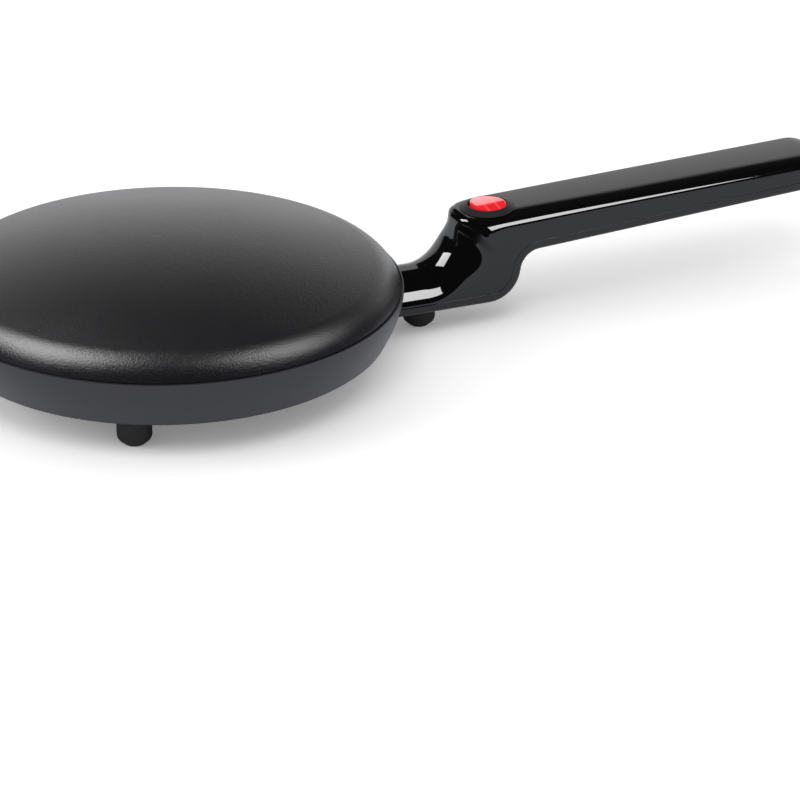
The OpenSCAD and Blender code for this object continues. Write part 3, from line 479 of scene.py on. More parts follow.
class Finish:
    """A material under construction: its shader, and helpers that hang shared effects on it."""

    def __init__(self, name, colour, roughness, **sockets):
        self.material = bpy.data.materials.new(name)
        self.material.use_nodes = True
        self.tree = self.material.node_tree
        self.shader = self.tree.nodes["Principled BSDF"]
        self.colour = (*colour, 1)
        self.shader.inputs["Base Color"].default_value = self.colour
        self.shader.inputs["Roughness"].default_value = roughness
        for key, value in sockets.items():
            self.shader.inputs[key.replace("_", " ")].default_value = value

    def feed(self, socket, value):
        self.tree.links.new(value, self.shader.inputs[socket])

    def effect(self, build, **values):
        """A copy of a shared effect with its own values."""
        return add(self.tree, "ShaderNodeGroup", values, node_tree=shared(build, values)).outputs[0]

    def cloud(self, scale, contrast):
        return self.effect(mottle, Scale=scale, Contrast=contrast)

    def tint(self, mask, colour, amount):
        """Mixes another colour in where a mask says so."""
        share = maths(self.tree, "MULTIPLY", mask, amount)
        self.feed("Base Color", mixed(self.tree, share, self.colour, (*colour, 1)))

    def vary(self, mask, socket, low, high):
        """Lets a value of the shader follow a mask."""
        self.feed(socket, ramp(self.tree, mask, "LINEAR", To_Min=low, To_Max=high))

    def emboss(self, height, depth):
        """Raises the surface by a height from 0 to 1 times a depth in millimetres."""
        bump = add(self.tree, "ShaderNodeBump", {"Distance": depth * MM, "Strength": 1.0, "Height": height})
        self.feed("Normal", bump.outputs["Normal"])

    def grain(self, scale, softness, depth):
        self.emboss(self.effect(moulded_grain, Scale=scale, Softness=softness), depth)


def nonstick_coating(settings):
    finish = Finish("nonstick_coating", settings.colour, 0.36, IOR=1.62)
    finish.tint(finish.effect(flecks, Scale=1400.0, Size=0.35), settings.fleck_colour, 0.35)
    finish.vary(finish.cloud(24, 1.2), "Roughness", 0.3, 0.35)
    finish.grain(1300, 0.2, 0.16)
    return finish.material


def satin_plastic(name, colour, roughness, depth=0.02, scale=2400, spread=0.05):
    """Moulded plastic with a fine eroded texture."""
    finish = Finish(name, colour, roughness)
    cloud = finish.cloud(35, 1)
    finish.tint(cloud, [c * 0.88 for c in colour], 0.6)
    finish.vary(cloud, "Roughness", roughness - spread / 2, roughness + spread / 2)
    finish.grain(scale, 0.4, depth)
    return finish.material


def gloss_black(settings):
    finish = Finish("gloss_black", settings.colour, 0.04)
    finish.vary(finish.cloud(60, 1.5), "Roughness", 0.025, 0.06)
    finish.grain(160, 0.5, 0.004)
    return finish.material


def lit_lens(settings):
    finish = Finish("lit_lens", settings.lens_colour, 0.07, Emission_Strength=1.0)
    cloud = finish.cloud(90, 1)
    finish.tint(cloud, (0.5, 0.008, 0.014), 0.5)
    # Painted bright bands: extra glow painted across the lens where light through a rib would show; the even
    # glow under them is the lamp's own
    bright = finish.effect(painted_rib_glow, Middle=PIVOT.x, Spacing=5.6 * MM, Width=1.1 * MM)
    glow = mixed(finish.tree, cloud, (0.24, 0.006, 0.01, 1), (0.36, 0.012, 0.016, 1))
    finish.feed("Emission Color", mixed(finish.tree, bright, glow, (0.8, 0.1, 0.1, 1)))
    finish.grain(300, 0.6, 0.003)
    return finish.material


def rubber():
    finish = Finish("foot_rubber_black", (0.012, 0.012, 0.012), 0.62, Specular_IOR_Level=0.4)
    cloud = finish.cloud(150, 1.4)
    finish.tint(cloud, (0.02, 0.02, 0.02), 0.5)
    finish.vary(cloud, "Roughness", 0.56, 0.7)
    finish.grain(3000, 0.3, 0.02)
    return finish.material


def bare_metal(name, colour, roughness, stretch=0.05):
    """Rolled or plated metal with drawn lines."""
    finish = Finish(name, colour, roughness, Metallic=1.0)
    cloud = finish.cloud(120, 1.4)
    finish.tint(cloud, [c * 0.8 for c in colour], 0.6)
    finish.vary(cloud, "Roughness", roughness - 0.06, roughness + 0.08)
    finish.emboss(finish.effect(drawn_lines, Scale=900.0, Stretch=stretch), 0.006)
    return finish.material


def heater_sheath():
    finish = Finish("heater_sheath_oxide", (0.2, 0.17, 0.15), 0.5, Metallic=0.8)
    cloud = finish.cloud(60, 2.2)
    finish.tint(cloud, (0.1, 0.075, 0.06), 0.8)
    finish.vary(cloud, "Metallic", 0.55, 0.9)
    finish.grain(1800, 0.3, 0.02)
    return finish.material


def sleeve(name, colour):
    """Soft sleeve of a lead."""
    finish = Finish(name, colour, 0.5)
    finish.tint(finish.cloud(200, 1.2), [c * 0.75 for c in colour], 0.6)
    finish.grain(4000, 0.3, 0.015)
    return finish.material


def lamp_glass():
    finish = Finish("lamp_glass_clear", (1.0, 0.72, 0.55), 0.05, Transmission_Weight=0.85,
                    Emission_Strength=2.0)
    cloud = finish.cloud(400, 1.5)
    finish.tint(cloud, (1.0, 0.55, 0.35), 0.6)
    finish.feed("Emission Color", mixed(finish.tree, cloud, (1.0, 0.25, 0.08, 1), (1.0, 0.38, 0.14, 1)))
    return finish.material


# The plate


def thirds(start):
    """Three angles a third of a turn apart."""
    return [radians(start + 120 * k) for k in range(3)]


def plate_form(settings):
    """The domed plate with its rolled edge and skirt, and the pads and bosses under it."""
    rim = settings.rim_round
    rim_x = PLATE_R - sqrt(rim ** 2 - settings.rim_drop ** 2)
    rim_z = SEAM_Z - settings.rim_drop
    rise = CROWN_Z - SEAM_Z + settings.rim_drop
    crown_r = (rim_x ** 2 + rise ** 2 - rim ** 2) / (2 * (rise - rim))
    crown_z = CROWN_Z - crown_r
    blend = asin(rim_x / (crown_r - rim))
    inner = SKIRT_R - settings.skirt_wall
    in_rim = rim - settings.wall
    edge_z = SEAM_Z - settings.edge
    skirt_edge = 0.3 * MM
    shell = arc(0, crown_z, crown_r, pi / 2, pi / 2 - blend, 64)
    shell += arc(rim_x, rim_z, rim, pi / 2 - blend, asin(settings.rim_drop / rim), 56)[1:]
    shell += rounded([(PLATE_R, edge_z, skirt_edge / 2), (SKIRT_R, edge_z),
                      (SKIRT_R, SEAL_HIGH.z, skirt_edge), (inner, SEAL_HIGH.z, skirt_edge)], 3)
    shell += arc(rim_x, rim_z, in_rim, acos((inner - rim_x) / in_rim), pi / 2 - blend, 16)
    shell += arc(0, crown_z, crown_r - settings.wall, pi / 2 - blend, pi / 2, 24)[1:]
    form = revolve(shell)

    def roof(at):
        return crown_z + sqrt(crown_r ** 2 - at ** 2) - settings.wall / 2

    # A ring of thicker metal holds the heating tube in a half-round groove
    ring = settings.heater_ring
    pad_z = SEAM_Z + 6.5 * MM
    near, far = ring - 6 * MM, ring + 6 * MM
    groove = arc(ring, pad_z, TUBE_R + 0.02 * MM, pi, 0, 16)
    form += revolve([(near, pad_z)] + groove + [(far, pad_z), (far, roof(far)), (near, roof(ring))], 128)

    # Bosses for the long screws, the heater's clamps and the thermostat's screws
    long_ring = ring + TUBE_R + 3.7 * MM + 5 * MM
    clamp_ring = near - 3 * MM
    ear_ring = 15.5 * MM
    low = SEAM_Z - 4 * MM
    form += around(drilled(5 * MM, low, roof(long_ring), 2 * MM, 10 * MM), long_ring, thirds(60))
    form += around(drilled(4 * MM, pad_z - TUBE_R, roof(clamp_ring), SCREW_R, SCREW_DEPTH), clamp_ring,
                   [radians(a) for a in (90, 180, 270)])
    form += post(10 * MM, SEAM_Z + 12 * MM, roof(0), 40)
    form += around(drilled(3.6 * MM, SEAM_Z + 8 * MM, roof(ear_ring), SCREW_R, SCREW_DEPTH), ear_ring,
                   [pi / 2, -pi / 2])

    # Seat of the thermal fuse, and the boss of its screw
    seat_x, screw_x = 30 * MM, 37.2 * MM
    form += post(8 * MM, SEAM_Z + 10 * MM, roof(seat_x), 40).at(-seat_x)
    form += drilled(3.4 * MM, SEAM_Z + 4.8 * MM, roof(screw_x), SCREW_R, SCREW_DEPTH).at(-screw_x)
    return form.at(AXIS_X)


class BuildPlate(bpy.types.Operator):
    """Makes the domed plate with its skirt, pads and bosses"""
    bl_idname = "crepe_maker.plate"
    bl_label = "Griddle plate"

    def execute(self, context):
        settings = context.scene.crepe_plate
        plate = make("domed_plate", plate_form(settings))
        lit_pieces("plate_pieces").objects.link(plate)
        finished(plate, nonstick_coating(settings), "plate_coating", "appliance", "griddle_plate")
        dress(satin_plastic("seal_rubber_grey", (0.075, 0.068, 0.064), 0.6, 0.02, 2000, 0.1), "rim_seal")
        return {"FINISHED"}


# The base


def ring_radius(settings, z, inset=0.0):
    """Radius of the ring's outer wall at a height."""
    t = min(max((z - RING_FOOT_Z) / (SEAM_Z - RING_FOOT_Z), 0), 1)
    return RING_R - settings.ring_taper * (1 - sin(t * pi / 2)) - inset


def ring_form(settings):
    """The grey ring: a tapered wall with a rounded lip, a rebate for the plate and a ledge for the seal."""
    steps = 28
    edge = 0.3 * MM
    wall = settings.ring_wall
    lip_in = PLATE_R + settings.seam_gap
    rebate_z = SEAM_Z - settings.seam_gap - 0.8 * MM
    ledge_r = RING_R - wall - settings.ledge
    ledge_z = SEAL_LOW.z - 2 * MM
    heights = [RING_FOOT_Z + (SEAM_Z - RING_FOOT_Z) * i / steps for i in range(steps)]
    corners = [(ring_radius(settings, z), z) for z in heights]
    corners[0] = (*corners[0], edge)
    corners += [(RING_R, SEAM_Z, 0.35 * MM), (lip_in, SEAM_Z, 0.2 * MM), (lip_in, rebate_z),
                (RING_R - wall, rebate_z), (RING_R - wall, SEAL_LOW.z), (ledge_r, SEAL_LOW.z, edge),
                (ledge_r, ledge_z, edge)]
    corners += [(ring_radius(settings, z, wall), z) for z in reversed(heights) if z < ledge_z - 0.5 * MM]
    return revolve(rounded(corners, 4)).at(AXIS_X)


def cover_outline(settings):
    """Half of the cover's section: underside, sloping border, edge under the ring and collar inside it."""
    foot_r = RING_R - settings.ring_taper
    edge_r = foot_r - COVER_INSET
    flat_r = edge_r - settings.cover_slope
    collar_r = foot_r - settings.ring_wall - 0.3 * MM
    collar_in = collar_r - 2 * MM
    edge_z = RING_FOOT_Z - settings.cover_edge
    floor_z = UNDERSIDE_Z + settings.cover_wall
    collar_z = RING_FOOT_Z + 4.2 * MM
    edge = 0.4 * MM
    return [(0, UNDERSIDE_Z), (flat_r, UNDERSIDE_Z, 1.5 * MM), (edge_r, edge_z, 0.5 * MM),
            (edge_r, RING_FOOT_Z), (collar_r, RING_FOOT_Z), (collar_r, collar_z, edge),
            (collar_in, collar_z, edge), (collar_in, RING_FOOT_Z + 0.6 * MM), (flat_r - 0.8 * MM, floor_z),
            (0, floor_z)]


def bracket_slot(depth, side, above):
    """The slot through which the neck's bracket passes, from a depth inside the rim outwards."""
    low = (AXIS_X + RING_R - depth, BRACKET_LOW.y - side, BRACKET_LOW.z - 0.3 * MM)
    return block(low, (AXIS_X + RING_R + ROOM, BRACKET_HIGH.y + ROOM, BRACKET_HIGH.z + above))


class BuildBase(bpy.types.Operator):
    """Makes the grey ring and the bottom cover with its screw wells"""
    bl_idname = "crepe_maker.base"
    bl_label = "Ring and cover"

    def execute(self, context):
        settings = context.scene.crepe_base
        ring = make("grey_ring", ring_form(settings))
        combine(ring, bracket_slot(14 * MM, ROOM, ROOM), "DIFFERENCE")
        grey = satin_plastic("ring_plastic_grey", settings.ring_colour, 0.36)
        finished(ring, grey, "ring_plastic", "appliance", "base_ring")

        cover = make("underside_cover", revolve(rounded(cover_outline(settings), 5)).at(AXIS_X))
        floor_z = UNDERSIDE_Z + settings.cover_wall
        screw_ring = context.scene.crepe_plate.heater_ring + 12 * MM
        screw_x = RING_R - 24 * MM
        buried = floor_z - 0.5 * MM
        posts = around(post(5.5 * MM, buried, SEAM_Z - 5.3 * MM, 48), screw_ring, thirds(60))
        posts += post(4 * MM, buried, BRACKET_LOW.z, 48).at(screw_x)
        combine(cover, posts.at(AXIS_X), "UNION")
        below = UNDERSIDE_Z - ROOM
        well = stepped(48, below, (4 * MM, UNDERSIDE_Z + 4 * MM), (2.1 * MM, SEAM_Z))
        socket = post(SOCKET_R, below, floor_z + ROOM, 48)
        foot_x, foot_y = middle("foot_left")
        holes = around(well, screw_ring, thirds(60)).at(AXIS_X)
        holes += socket.at(foot_x, foot_y) + socket.at(foot_x, -foot_y)
        holes += post(SCREW_R, BRACKET_LOW.z - 4.2 * MM, BRACKET_LOW.z + ROOM, 32).at(AXIS_X + screw_x)
        combine(cover, holes, "DIFFERENCE")
        combine(cover, bracket_slot(15.6 * MM, 1.5 * MM, 2 * ROOM), "DIFFERENCE")
        applied(cover, "WELD", merge_threshold=0.01 * MM)
        black = satin_plastic("cover_plastic_black", settings.cover_colour, 0.42, 0.03, 1600)
        finished(cover, black, "cover_plastic", "appliance", "bottom_cover")
        return {"FINISHED"}


# The handle

# The lower shell stops this far inside the end of the handle
TRAY_END = 14 * MM


def along(start, size, turn, d):
    """Place and heading a distance along a straight stretch, or along an arc of that radius and turn."""
    x, z, heading = start
    if turn == 0:
        return x + d * cos(heading), z + d * sin(heading), heading
    side = 1 if turn > 0 else -1
    end = heading + side * d / size
    return (x + side * size * (sin(end) - sin(heading)),
            z + side * size * (cos(heading) - cos(end)), end)


class Line:
    """A line of straight and round stretches, walked one after another from a place and a heading."""

    def __init__(self, start, stretches):
        self.knots = []
        walked = 0
        for size, turn in stretches:
            self.knots.append((walked, start, size, turn))
            length = size * abs(turn) if turn else size
            start = along(start, size, turn, length)
            walked += length

    def at(self, d):
        passed = [knot for knot in self.knots if knot[0] <= d + TINY] or self.knots[:1]
        walked, start, size, turn = passed[-1]
        return along(start, size, turn, d - walked)

    def knot(self, i):
        """Distance at which a stretch starts."""
        return self.knots[i][0]

    def last(self):
        """Place and heading at which the last stretch starts."""
        return self.knots[-1][1]

    def reach(self, x):
        """Distance at which the last stretch gets to a place."""
        x0, _z0, heading = self.last()
        return self.knot(-1) + (x - x0) / cos(heading)

    def level(self, x):
        """Height of the last stretch at a place."""
        x0, z0, heading = self.last()
        return z0 + (x - x0) * tan(heading)


def halved(near, far, times, past):
    """Both ends of a stretch, halved again and again round the place where a test turns true."""
    for _ in range(times):
        half_way = (near + far) / 2
        if past(half_way):
            far = half_way
        else:
            near = half_way
    return near, far


def eased(keys, s):
    """A smooth curve through keys of (place, value), without overshoot."""
    i = max([k for k in range(len(keys) - 1) if keys[k][0] <= s + TINY] or [0])
    slopes = [(b[1] - a[1]) / (b[0] - a[0]) for a, b in zip(keys, keys[1:])]

    def tangent(k):
        if k == 0 or k == len(keys) - 1:
            return slopes[min(k, len(slopes) - 1)]
        before, after = slopes[k - 1], slopes[k]
        return 0 if before * after <= 0 else 2 * before * after / (before + after)

    width = keys[i + 1][0] - keys[i][0]
    t = (s - keys[i][0]) / width
    return ((2 * t ** 3 - 3 * t ** 2 + 1) * keys[i][1] + (t ** 3 - 2 * t ** 2 + t) * width * tangent(i)
            + (3 * t ** 2 - 2 * t ** 3) * keys[i + 1][1] + (t ** 3 - t ** 2) * width * tangent(i + 1))


class HandleLines:
    """The handle's shape: stations from 0 at the root to 6 at the end, each with a section across."""

    # Steps round half a section: top, upper edge, side above the joint, side below it, lower edge, underside
    STEPS = (12, 16, 10, 5, 8, 8)
    # The step that lies on the joint
    JOINT = sum(STEPS[:3])
    # Halvings that find the joint in a section, and the place where the handle leaves the base
    JOINT_HALVINGS = 44
    START_HALVINGS = 18
    # Length behind the shoulder over which the sections settle
    SETTLING = 32 * MM
    # Rounding of the upper edges by station: across the width, then down the side, in millimetres
    ACROSS = [(0, 15), (1, 15), (2.5, 15), (3, 14), (4, 11), (4.25, 7), (4.6, 4), (5, 3.6), (6, 3.6)]
    DOWN = [(0, 11.5), (1, 11.8), (1.8, 17.5), (2.4, 19), (3, 16), (3.5, 12), (4, 9.5), (4.25, 6.5),
            (4.6, 4), (5, 3.6), (6, 3.6)]
    # How far the rounding leans towards a chamfer: 1 is a true ellipse
    BEND = [(0, 1.15), (1, 1.15), (2.4, 1.1), (6, 1)]

    def __init__(self, settings, base):
        self.settings = s = settings
        self.base = base
        self.root = RING_R - 16 * MM
        root_top = UNDERSIDE_Z + s.root_height
        shoulder_z = SEAM_Z + s.shoulder_height
        rise = shoulder_z - root_top - s.climb_round * (1 - cos(s.front_angle))
        rise -= s.shoulder_round * (cos(s.top_slope) - cos(s.front_angle))
        length = HANDLE_END - RING_R
        self.top = Line((self.root, root_top, 0.0), [
            (RING_R + s.climb - self.root, 0), (s.climb_round, s.front_angle),
            (rise / sin(s.front_angle), 0), (s.shoulder_round, s.top_slope - s.front_angle), (length, 0)])
        self.low = self.under(0.0)
        # Where the stations lie along the top and along the underside
        knot = self.top.knot
        self.top_keys = [(i, knot(i)) for i in range(5)]
        self.top_keys += [(5, knot(4) + self.SETTLING), (6, self.top.reach(HANDLE_END))]
        knot = self.low.knot
        self.low_keys = [(0, 0), (1, 0.45 * knot(1)), (2, 0.8 * knot(1)), (3, 0.1 * knot(1) + 0.9 * knot(2)),
                         (4, knot(3)), (5, knot(4)), (6, self.low.reach(HANDLE_END))]

    def under(self, lift):
        """The line a distance inside the underside."""
        s = self.settings
        return Line((self.root, UNDERSIDE_Z + lift, 0.0), [
            (RING_R + s.heel - self.root, 0), (s.heel_round - lift, s.back_angle), (s.back_length, 0),
            (s.grip_round + lift, s.under_slope - s.back_angle), (HANDLE_END - RING_R, 0)])

    def before_end(self, length):
        """The station a length before the end of the handle."""
        return 6 - length / (self.top_keys[-1][1] - self.top_keys[-2][1])

    def joint_depth(self, top, low, line):
        """How far down a section lies the line of the joint."""
        direction = (low - top).normalized()
        across = Vector((-direction.y, direction.x))

        def from_top(d):
            x, z, _heading = line.at(d)
            return Vector((x, z)) - top

        near, _far = halved(0.0, line.reach(HANDLE_END + 20 * MM), self.JOINT_HALVINGS,
                            lambda d: across.dot(from_top(d)) >= 0)
        return direction.dot(from_top(near))

    def section(self, station, inset, line):
        """Half of a section, from the middle of the top to the middle of the underside."""
        s = self.settings
        top = Vector(self.top.at(eased(self.top_keys, station))[:2])
        low = Vector(self.low.at(eased(self.low_keys, station))[:2])
        direction = (low - top).normalized()
        # In the rounded end, the section draws in along a quarter of an ellipse
        past = max(0, 1 - (HANDLE_END - top.x) / s.end_round)
        shrink = 0 if inset else 1 - sqrt(max(0, 1 - past ** 2))
        start = inset + shrink * s.low_edge
        w = HALF_W - inset - shrink * s.end_round
        h = (low - top).length - 2 * start
        low_r = max(0.8 * MM, s.low_edge - inset)
        across = max(1 * MM, eased(self.ACROSS, station) * MM - inset)
        down = min(max(1 * MM, eased(self.DOWN, station) * MM - inset), h - low_r - 0.4 * MM)
        bend = eased(self.BEND, station)
        joint = self.joint_depth(top, low, line) - start
        # Places across the handle and down the section, from the middle of the top
        flat, edge, side, lower, corner, under = self.STEPS
        half = [((w - across) * i / flat, 0) for i in range(flat)]
        for i in range(edge):
            a = pi / 2 * i / edge
            half.append((w - across * (1 - sin(a) ** bend), down * (1 - cos(a) ** bend)))
        half += [(w, down + (joint - down) * i / side) for i in range(side)]
        half += [(w, joint + (h - low_r - joint) * i / lower) for i in range(lower)]
        for i in range(corner):
            a = pi / 2 * i / corner
            half.append((w - low_r + low_r * cos(a), h - low_r + low_r * sin(a)))
        half += [((w - low_r) * (1 - i / under), h) for i in range(under + 1)]
        points = []
        for y, d in half:
            depth = start + d + s.crown * (y / w) ** 2 * max(0, 1 - 2 * d / h)
            place = top + direction * depth
            points.append(Vector((place.x, y, place.y)))
        return points

    def outside_base(self, point):
        """Whether a point is clear of the ring and the cover."""
        hair = 0.1 * MM
        base = self.base
        edge_r = RING_R - base.ring_taper - COVER_INSET
        edge_z = RING_FOOT_Z - base.cover_edge
        r = ring_radius(base, point.z) + hair
        if point.z < edge_z:
            r = edge_r + hair - base.cover_slope * (edge_z - point.z) / (edge_z - UNDERSIDE_Z)
        return sqrt(point.x ** 2 + point.y ** 2) > r

    def rows(self, stations, inset, line):
        """Half sections at the stations. Those before station 1 start where they leave the base."""
        starts = []
        for k in range(sum(self.STEPS) + 1):
            def clear(station, k=k):
                return self.outside_base(self.section(station, inset, line)[k])

            starts.append(0.0 if clear(0.0) else halved(0.0, 1.0, self.START_HALVINGS, clear)[1])
        rows = []
        for station in stations:
            if station >= 1:
                rows.append(self.section(station, inset, line))
            else:
                rows.append([self.section(a + (1 - a) * station, inset, line)[k]
                             for k, a in enumerate(starts)])
        return rows

    def stations(self, end):
        """Stations from the root to a last one, closer together where the handle bends."""
        # Start, end and number of steps of each part
        spread = [(0, 1, 16), (1, 2, 26), (2, 3, 14), (3, 4, 26), (4, 4.6, 30), (4.6, 5, 14)]
        places = [a + (b - a) * i / n for a, b, n in spread for i in range(n)]
        return places + [5 + (end - 5) * i / 24 for i in range(25)]


class Net:
    """Collects points by key and faces between them."""

    def __init__(self, rows):
        self.rows = rows
        self.index = {}
        self.points = []
        self.faces = []

    def corner(self, key):
        """Number of a point. Its key is (layer, row, place round the section, negative on the -Y side)."""
        layer, row, k = key
        last = len(self.rows[layer][row]) - 1
        key = (layer, row, last if abs(k) == last else k)
        if key not in self.index:
            x, y, z = self.rows[layer][row][abs(k)]
            self.index[key] = len(self.points)
            self.points.append((x, y if k >= 0 else -y, z))
        return self.index[key]

    def face(self, *keys):
        self.faces.append([self.corner(key) for key in keys])

    def form(self):
        return Form(self.points, self.faces)


def both_sides(low, high):
    """Steps between places low and high round a section, on both sides of its middle."""
    return [(k, k + 1) for k in range(low, high)] + [(-k, -k - 1) for k in range(low, high)]


def upper_shell_form(lines):
    """Upper shell: open below as far as the joint, and closed all round at its end."""
    settings = lines.settings
    line = lines.under(settings.lower_depth)
    stations = lines.stations(lines.before_end(TRAY_END))
    step = len(stations) - 1
    straight = TRAY_END - settings.end_round
    stations += [lines.before_end(TRAY_END - straight * i / 4) for i in range(1, 4)]
    stations += [lines.before_end(settings.end_round * (1 - i / 12) ** 2) for i in range(13)]
    wall = next(i for i, s in enumerate(stations) if s > lines.before_end(settings.end_wall))
    rows = {"out": lines.rows(stations, 0.0, line),
            "in": lines.rows(stations[:wall + 1], settings.wall, line)}
    net = Net(rows)
    joint = lines.JOINT
    bottom = sum(lines.STEPS)
    upper, lower = both_sides(0, joint), both_sides(joint, bottom)
    for i in range(len(stations) - 1):
        for a, b in upper + (lower if i >= step else []):
            net.face(("out", i, a), ("out", i, b), ("out", i + 1, b), ("out", i + 1, a))
            if i < wall:
                net.face(("in", i, a), ("in", i, b), ("in", i + 1, b), ("in", i + 1, a))
        if i < step:
            for k in (joint, -joint):
                net.face(("out", i, k), ("out", i + 1, k), ("in", i + 1, k), ("in", i, k))
    for row, steps in ((0, upper), (step, lower)):
        for a, b in steps:
            net.face(("out", row, a), ("out", row, b), ("in", row, b), ("in", row, a))
    loop = list(range(bottom + 1)) + list(range(1 - bottom, 0))
    net.face(*[("in", wall, k) for k in loop])
    net.face(*[("out", len(stations) - 1, k) for k in loop])
    return net.form().at(AXIS_X)


def lower_shell_form(lines):
    """Lower shell: a tray under the joint."""
    settings = lines.settings
    line = lines.under(settings.lower_depth - settings.joint_gap)
    stations = lines.stations(lines.before_end(TRAY_END + 0.1 * MM))
    rows = {"out": lines.rows(stations, 0.0, line), "in": lines.rows(stations, settings.wall, line)}
    net = Net(rows)
    joint = lines.JOINT
    steps = both_sides(joint, sum(lines.STEPS))
    end = len(stations) - 1
    for i in range(end):
        for a, b in steps:
            for layer in ("out", "in"):
                net.face((layer, i, a), (layer, i, b), (layer, i + 1, b), (layer, i + 1, a))
        for k in (joint, -joint):
            net.face(("out", i, k), ("out", i + 1, k), ("in", i + 1, k), ("in", i, k))
    for row in (0, end):
        for a, b in steps:
            net.face(("out", row, a), ("out", row, b), ("in", row, b), ("in", row, a))
    return net.form().at(AXIS_X)


class BuildHandle(bpy.types.Operator):
    """Makes the two shells of the handle with the holes for the switch, the screws and the cord"""
    bl_idname = "crepe_maker.handle"
    bl_label = "Handle"

    def execute(self, context):
        settings = context.scene.crepe_handle
        switch = context.scene.crepe_switch
        lines = HandleLines(settings, context.scene.crepe_base)
        material = gloss_black(settings)
        screws = [RING_R + d * MM for d in (29, 105, 192)]
        edge = 0.06 * MM

        def joint_z(x):
            if x < RING_R + settings.heel:
                return UNDERSIDE_Z + settings.lower_depth
            return lines.under(settings.lower_depth).level(x)

        upper = make("handle_top", upper_shell_form(lines))
        lit_pieces("handle_pieces").objects.link(upper)
        soften(upper, edge)
        barrel = post(switch.barrel_radius + 0.1 * MM, -switch.barrel_depth - 2 * MM, 10 * MM, 96)
        in_r, out_r = switch.bezel_radius, switch.bezel_radius + 0.35 * MM
        low, high = -0.7 * MM, 3 * MM
        groove = revolve([(in_r, low), (out_r, low), (out_r, high), (in_r, high)], 160)
        holes = (barrel + groove).moved(switch_frame(context))
        cord_z = (lines.top.level(HANDLE_END) + lines.low.level(HANDLE_END)) / 2
        cord = post(3.5 * MM, -2 * settings.end_wall, 2 * settings.end_wall, 64)
        holes += cord.moved(Matrix.Rotation(pi / 2, 4, "Y")).at(AXIS_X + HANDLE_END, 0, cord_z)
        combine(upper, holes, "DIFFERENCE")
        bosses = Form([], [])
        for x in screws:
            if x > lines.top.last()[0]:
                roof = lines.top.level(x) - settings.wall / 2
            else:
                roof = UNDERSIDE_Z + settings.root_height + 2 * MM
            bosses += drilled(3.5 * MM, joint_z(x), roof, SCREW_R, 8.5 * MM).at(AXIS_X + x)
        merge(upper, bosses)
        finished(upper, material, "handle_gloss", "appliance", "handle_upper_shell")

        lower = make("handle_bottom", lower_shell_form(lines))
        lit_pieces("handle_pieces").objects.link(lower)
        soften(lower, edge)
        posts = Form([], [])
        wells = post(SOCKET_R, UNDERSIDE_Z - ROOM, UNDERSIDE_Z + STEM_TOP, 48).at(middle("foot_neck")[0])
        for x in screws:
            low = joint_z(x) - settings.lower_depth
            posts += post(4.4 * MM, low + 1 * MM, low + settings.lower_depth - 0.01 * MM, 48).at(AXIS_X + x)
            well = stepped(48, low - 3 * MM, (3.1 * MM, low + 2.6 * MM), (SCREW_R, low + 6 * MM))
            wells += well.at(AXIS_X + x)
        bracket_x = AXIS_X + RING_R + 7.5 * MM
        posts += post(3.5 * MM, UNDERSIDE_Z + 1 * MM, BRACKET_LOW.z, 48).at(bracket_x)
        wells += post(SCREW_R, BRACKET_LOW.z - 4.5 * MM, BRACKET_LOW.z + ROOM, 32).at(bracket_x)
        combine(lower, posts, "UNION")
        combine(lower, wells, "DIFFERENCE")
        finished(lower, material, "handle_gloss", "appliance", "handle_lower_shell")
        return {"FINISHED"}


# The switch


def switch_frame(context, tilt=0.0):
    """Place of the switch, or of the rocker at a tilt: its origin on the shoulder, its Z along the barrel."""
    turned = Matrix.Rotation(tilt - context.scene.crepe_handle.top_slope, 4, "Y")
    return Matrix.Translation(PIVOT) @ turned @ Matrix.Translation((0, 0, 3 * MM))


def body_form(settings):
    """Barrel and conical bezel."""
    opening = settings.rocker_radius + settings.rocker_gap
    edge = 0.4 * MM
    floor = 1.5 * MM - settings.barrel_depth
    return revolve(rounded([
        (0, -settings.barrel_depth), (settings.barrel_radius, -settings.barrel_depth, 0.5 * MM),
        (settings.barrel_radius, 0), (settings.bezel_radius, 0, 0.12 * MM),
        (settings.bezel_radius, edge, 0.25 * MM), (opening + edge, settings.bezel_height, 0.3 * MM),
        (opening, settings.bezel_height, 0.25 * MM), (opening, floor, 0.5 * MM), (0, floor)], 4), 160)


def lens_form(settings):
    """Round lens whose top is dished along the handle and arched across it, hollow from below."""
    r = settings.rocker_radius
    inner = r - settings.lens_wall
    top = settings.lens_top
    roof = top - settings.lens_wall
    low = -1.5 * MM
    rings, in_rings = 14, 6
    outline = [(r * i / rings, top) for i in range(rings)]
    outline += [(r, top, 0.55 * MM), (r, low, 0.1 * MM), (inner, low, 0.1 * MM), (inner, roof, 0.3 * MM)]
    outline += [(inner * i / in_rings, roof) for i in range(in_rings - 1, -1, -1)]
    form = revolve(rounded(outline, 6), 160)
    for point in form.points:
        if point.z > 0:
            from_crest = point.y - settings.lens_crest
            point.z += settings.lens_curve - sqrt(settings.lens_curve ** 2 - point.x ** 2)
            point.z -= settings.lens_sweep - sqrt(settings.lens_sweep ** 2 - from_crest ** 2)
    return form


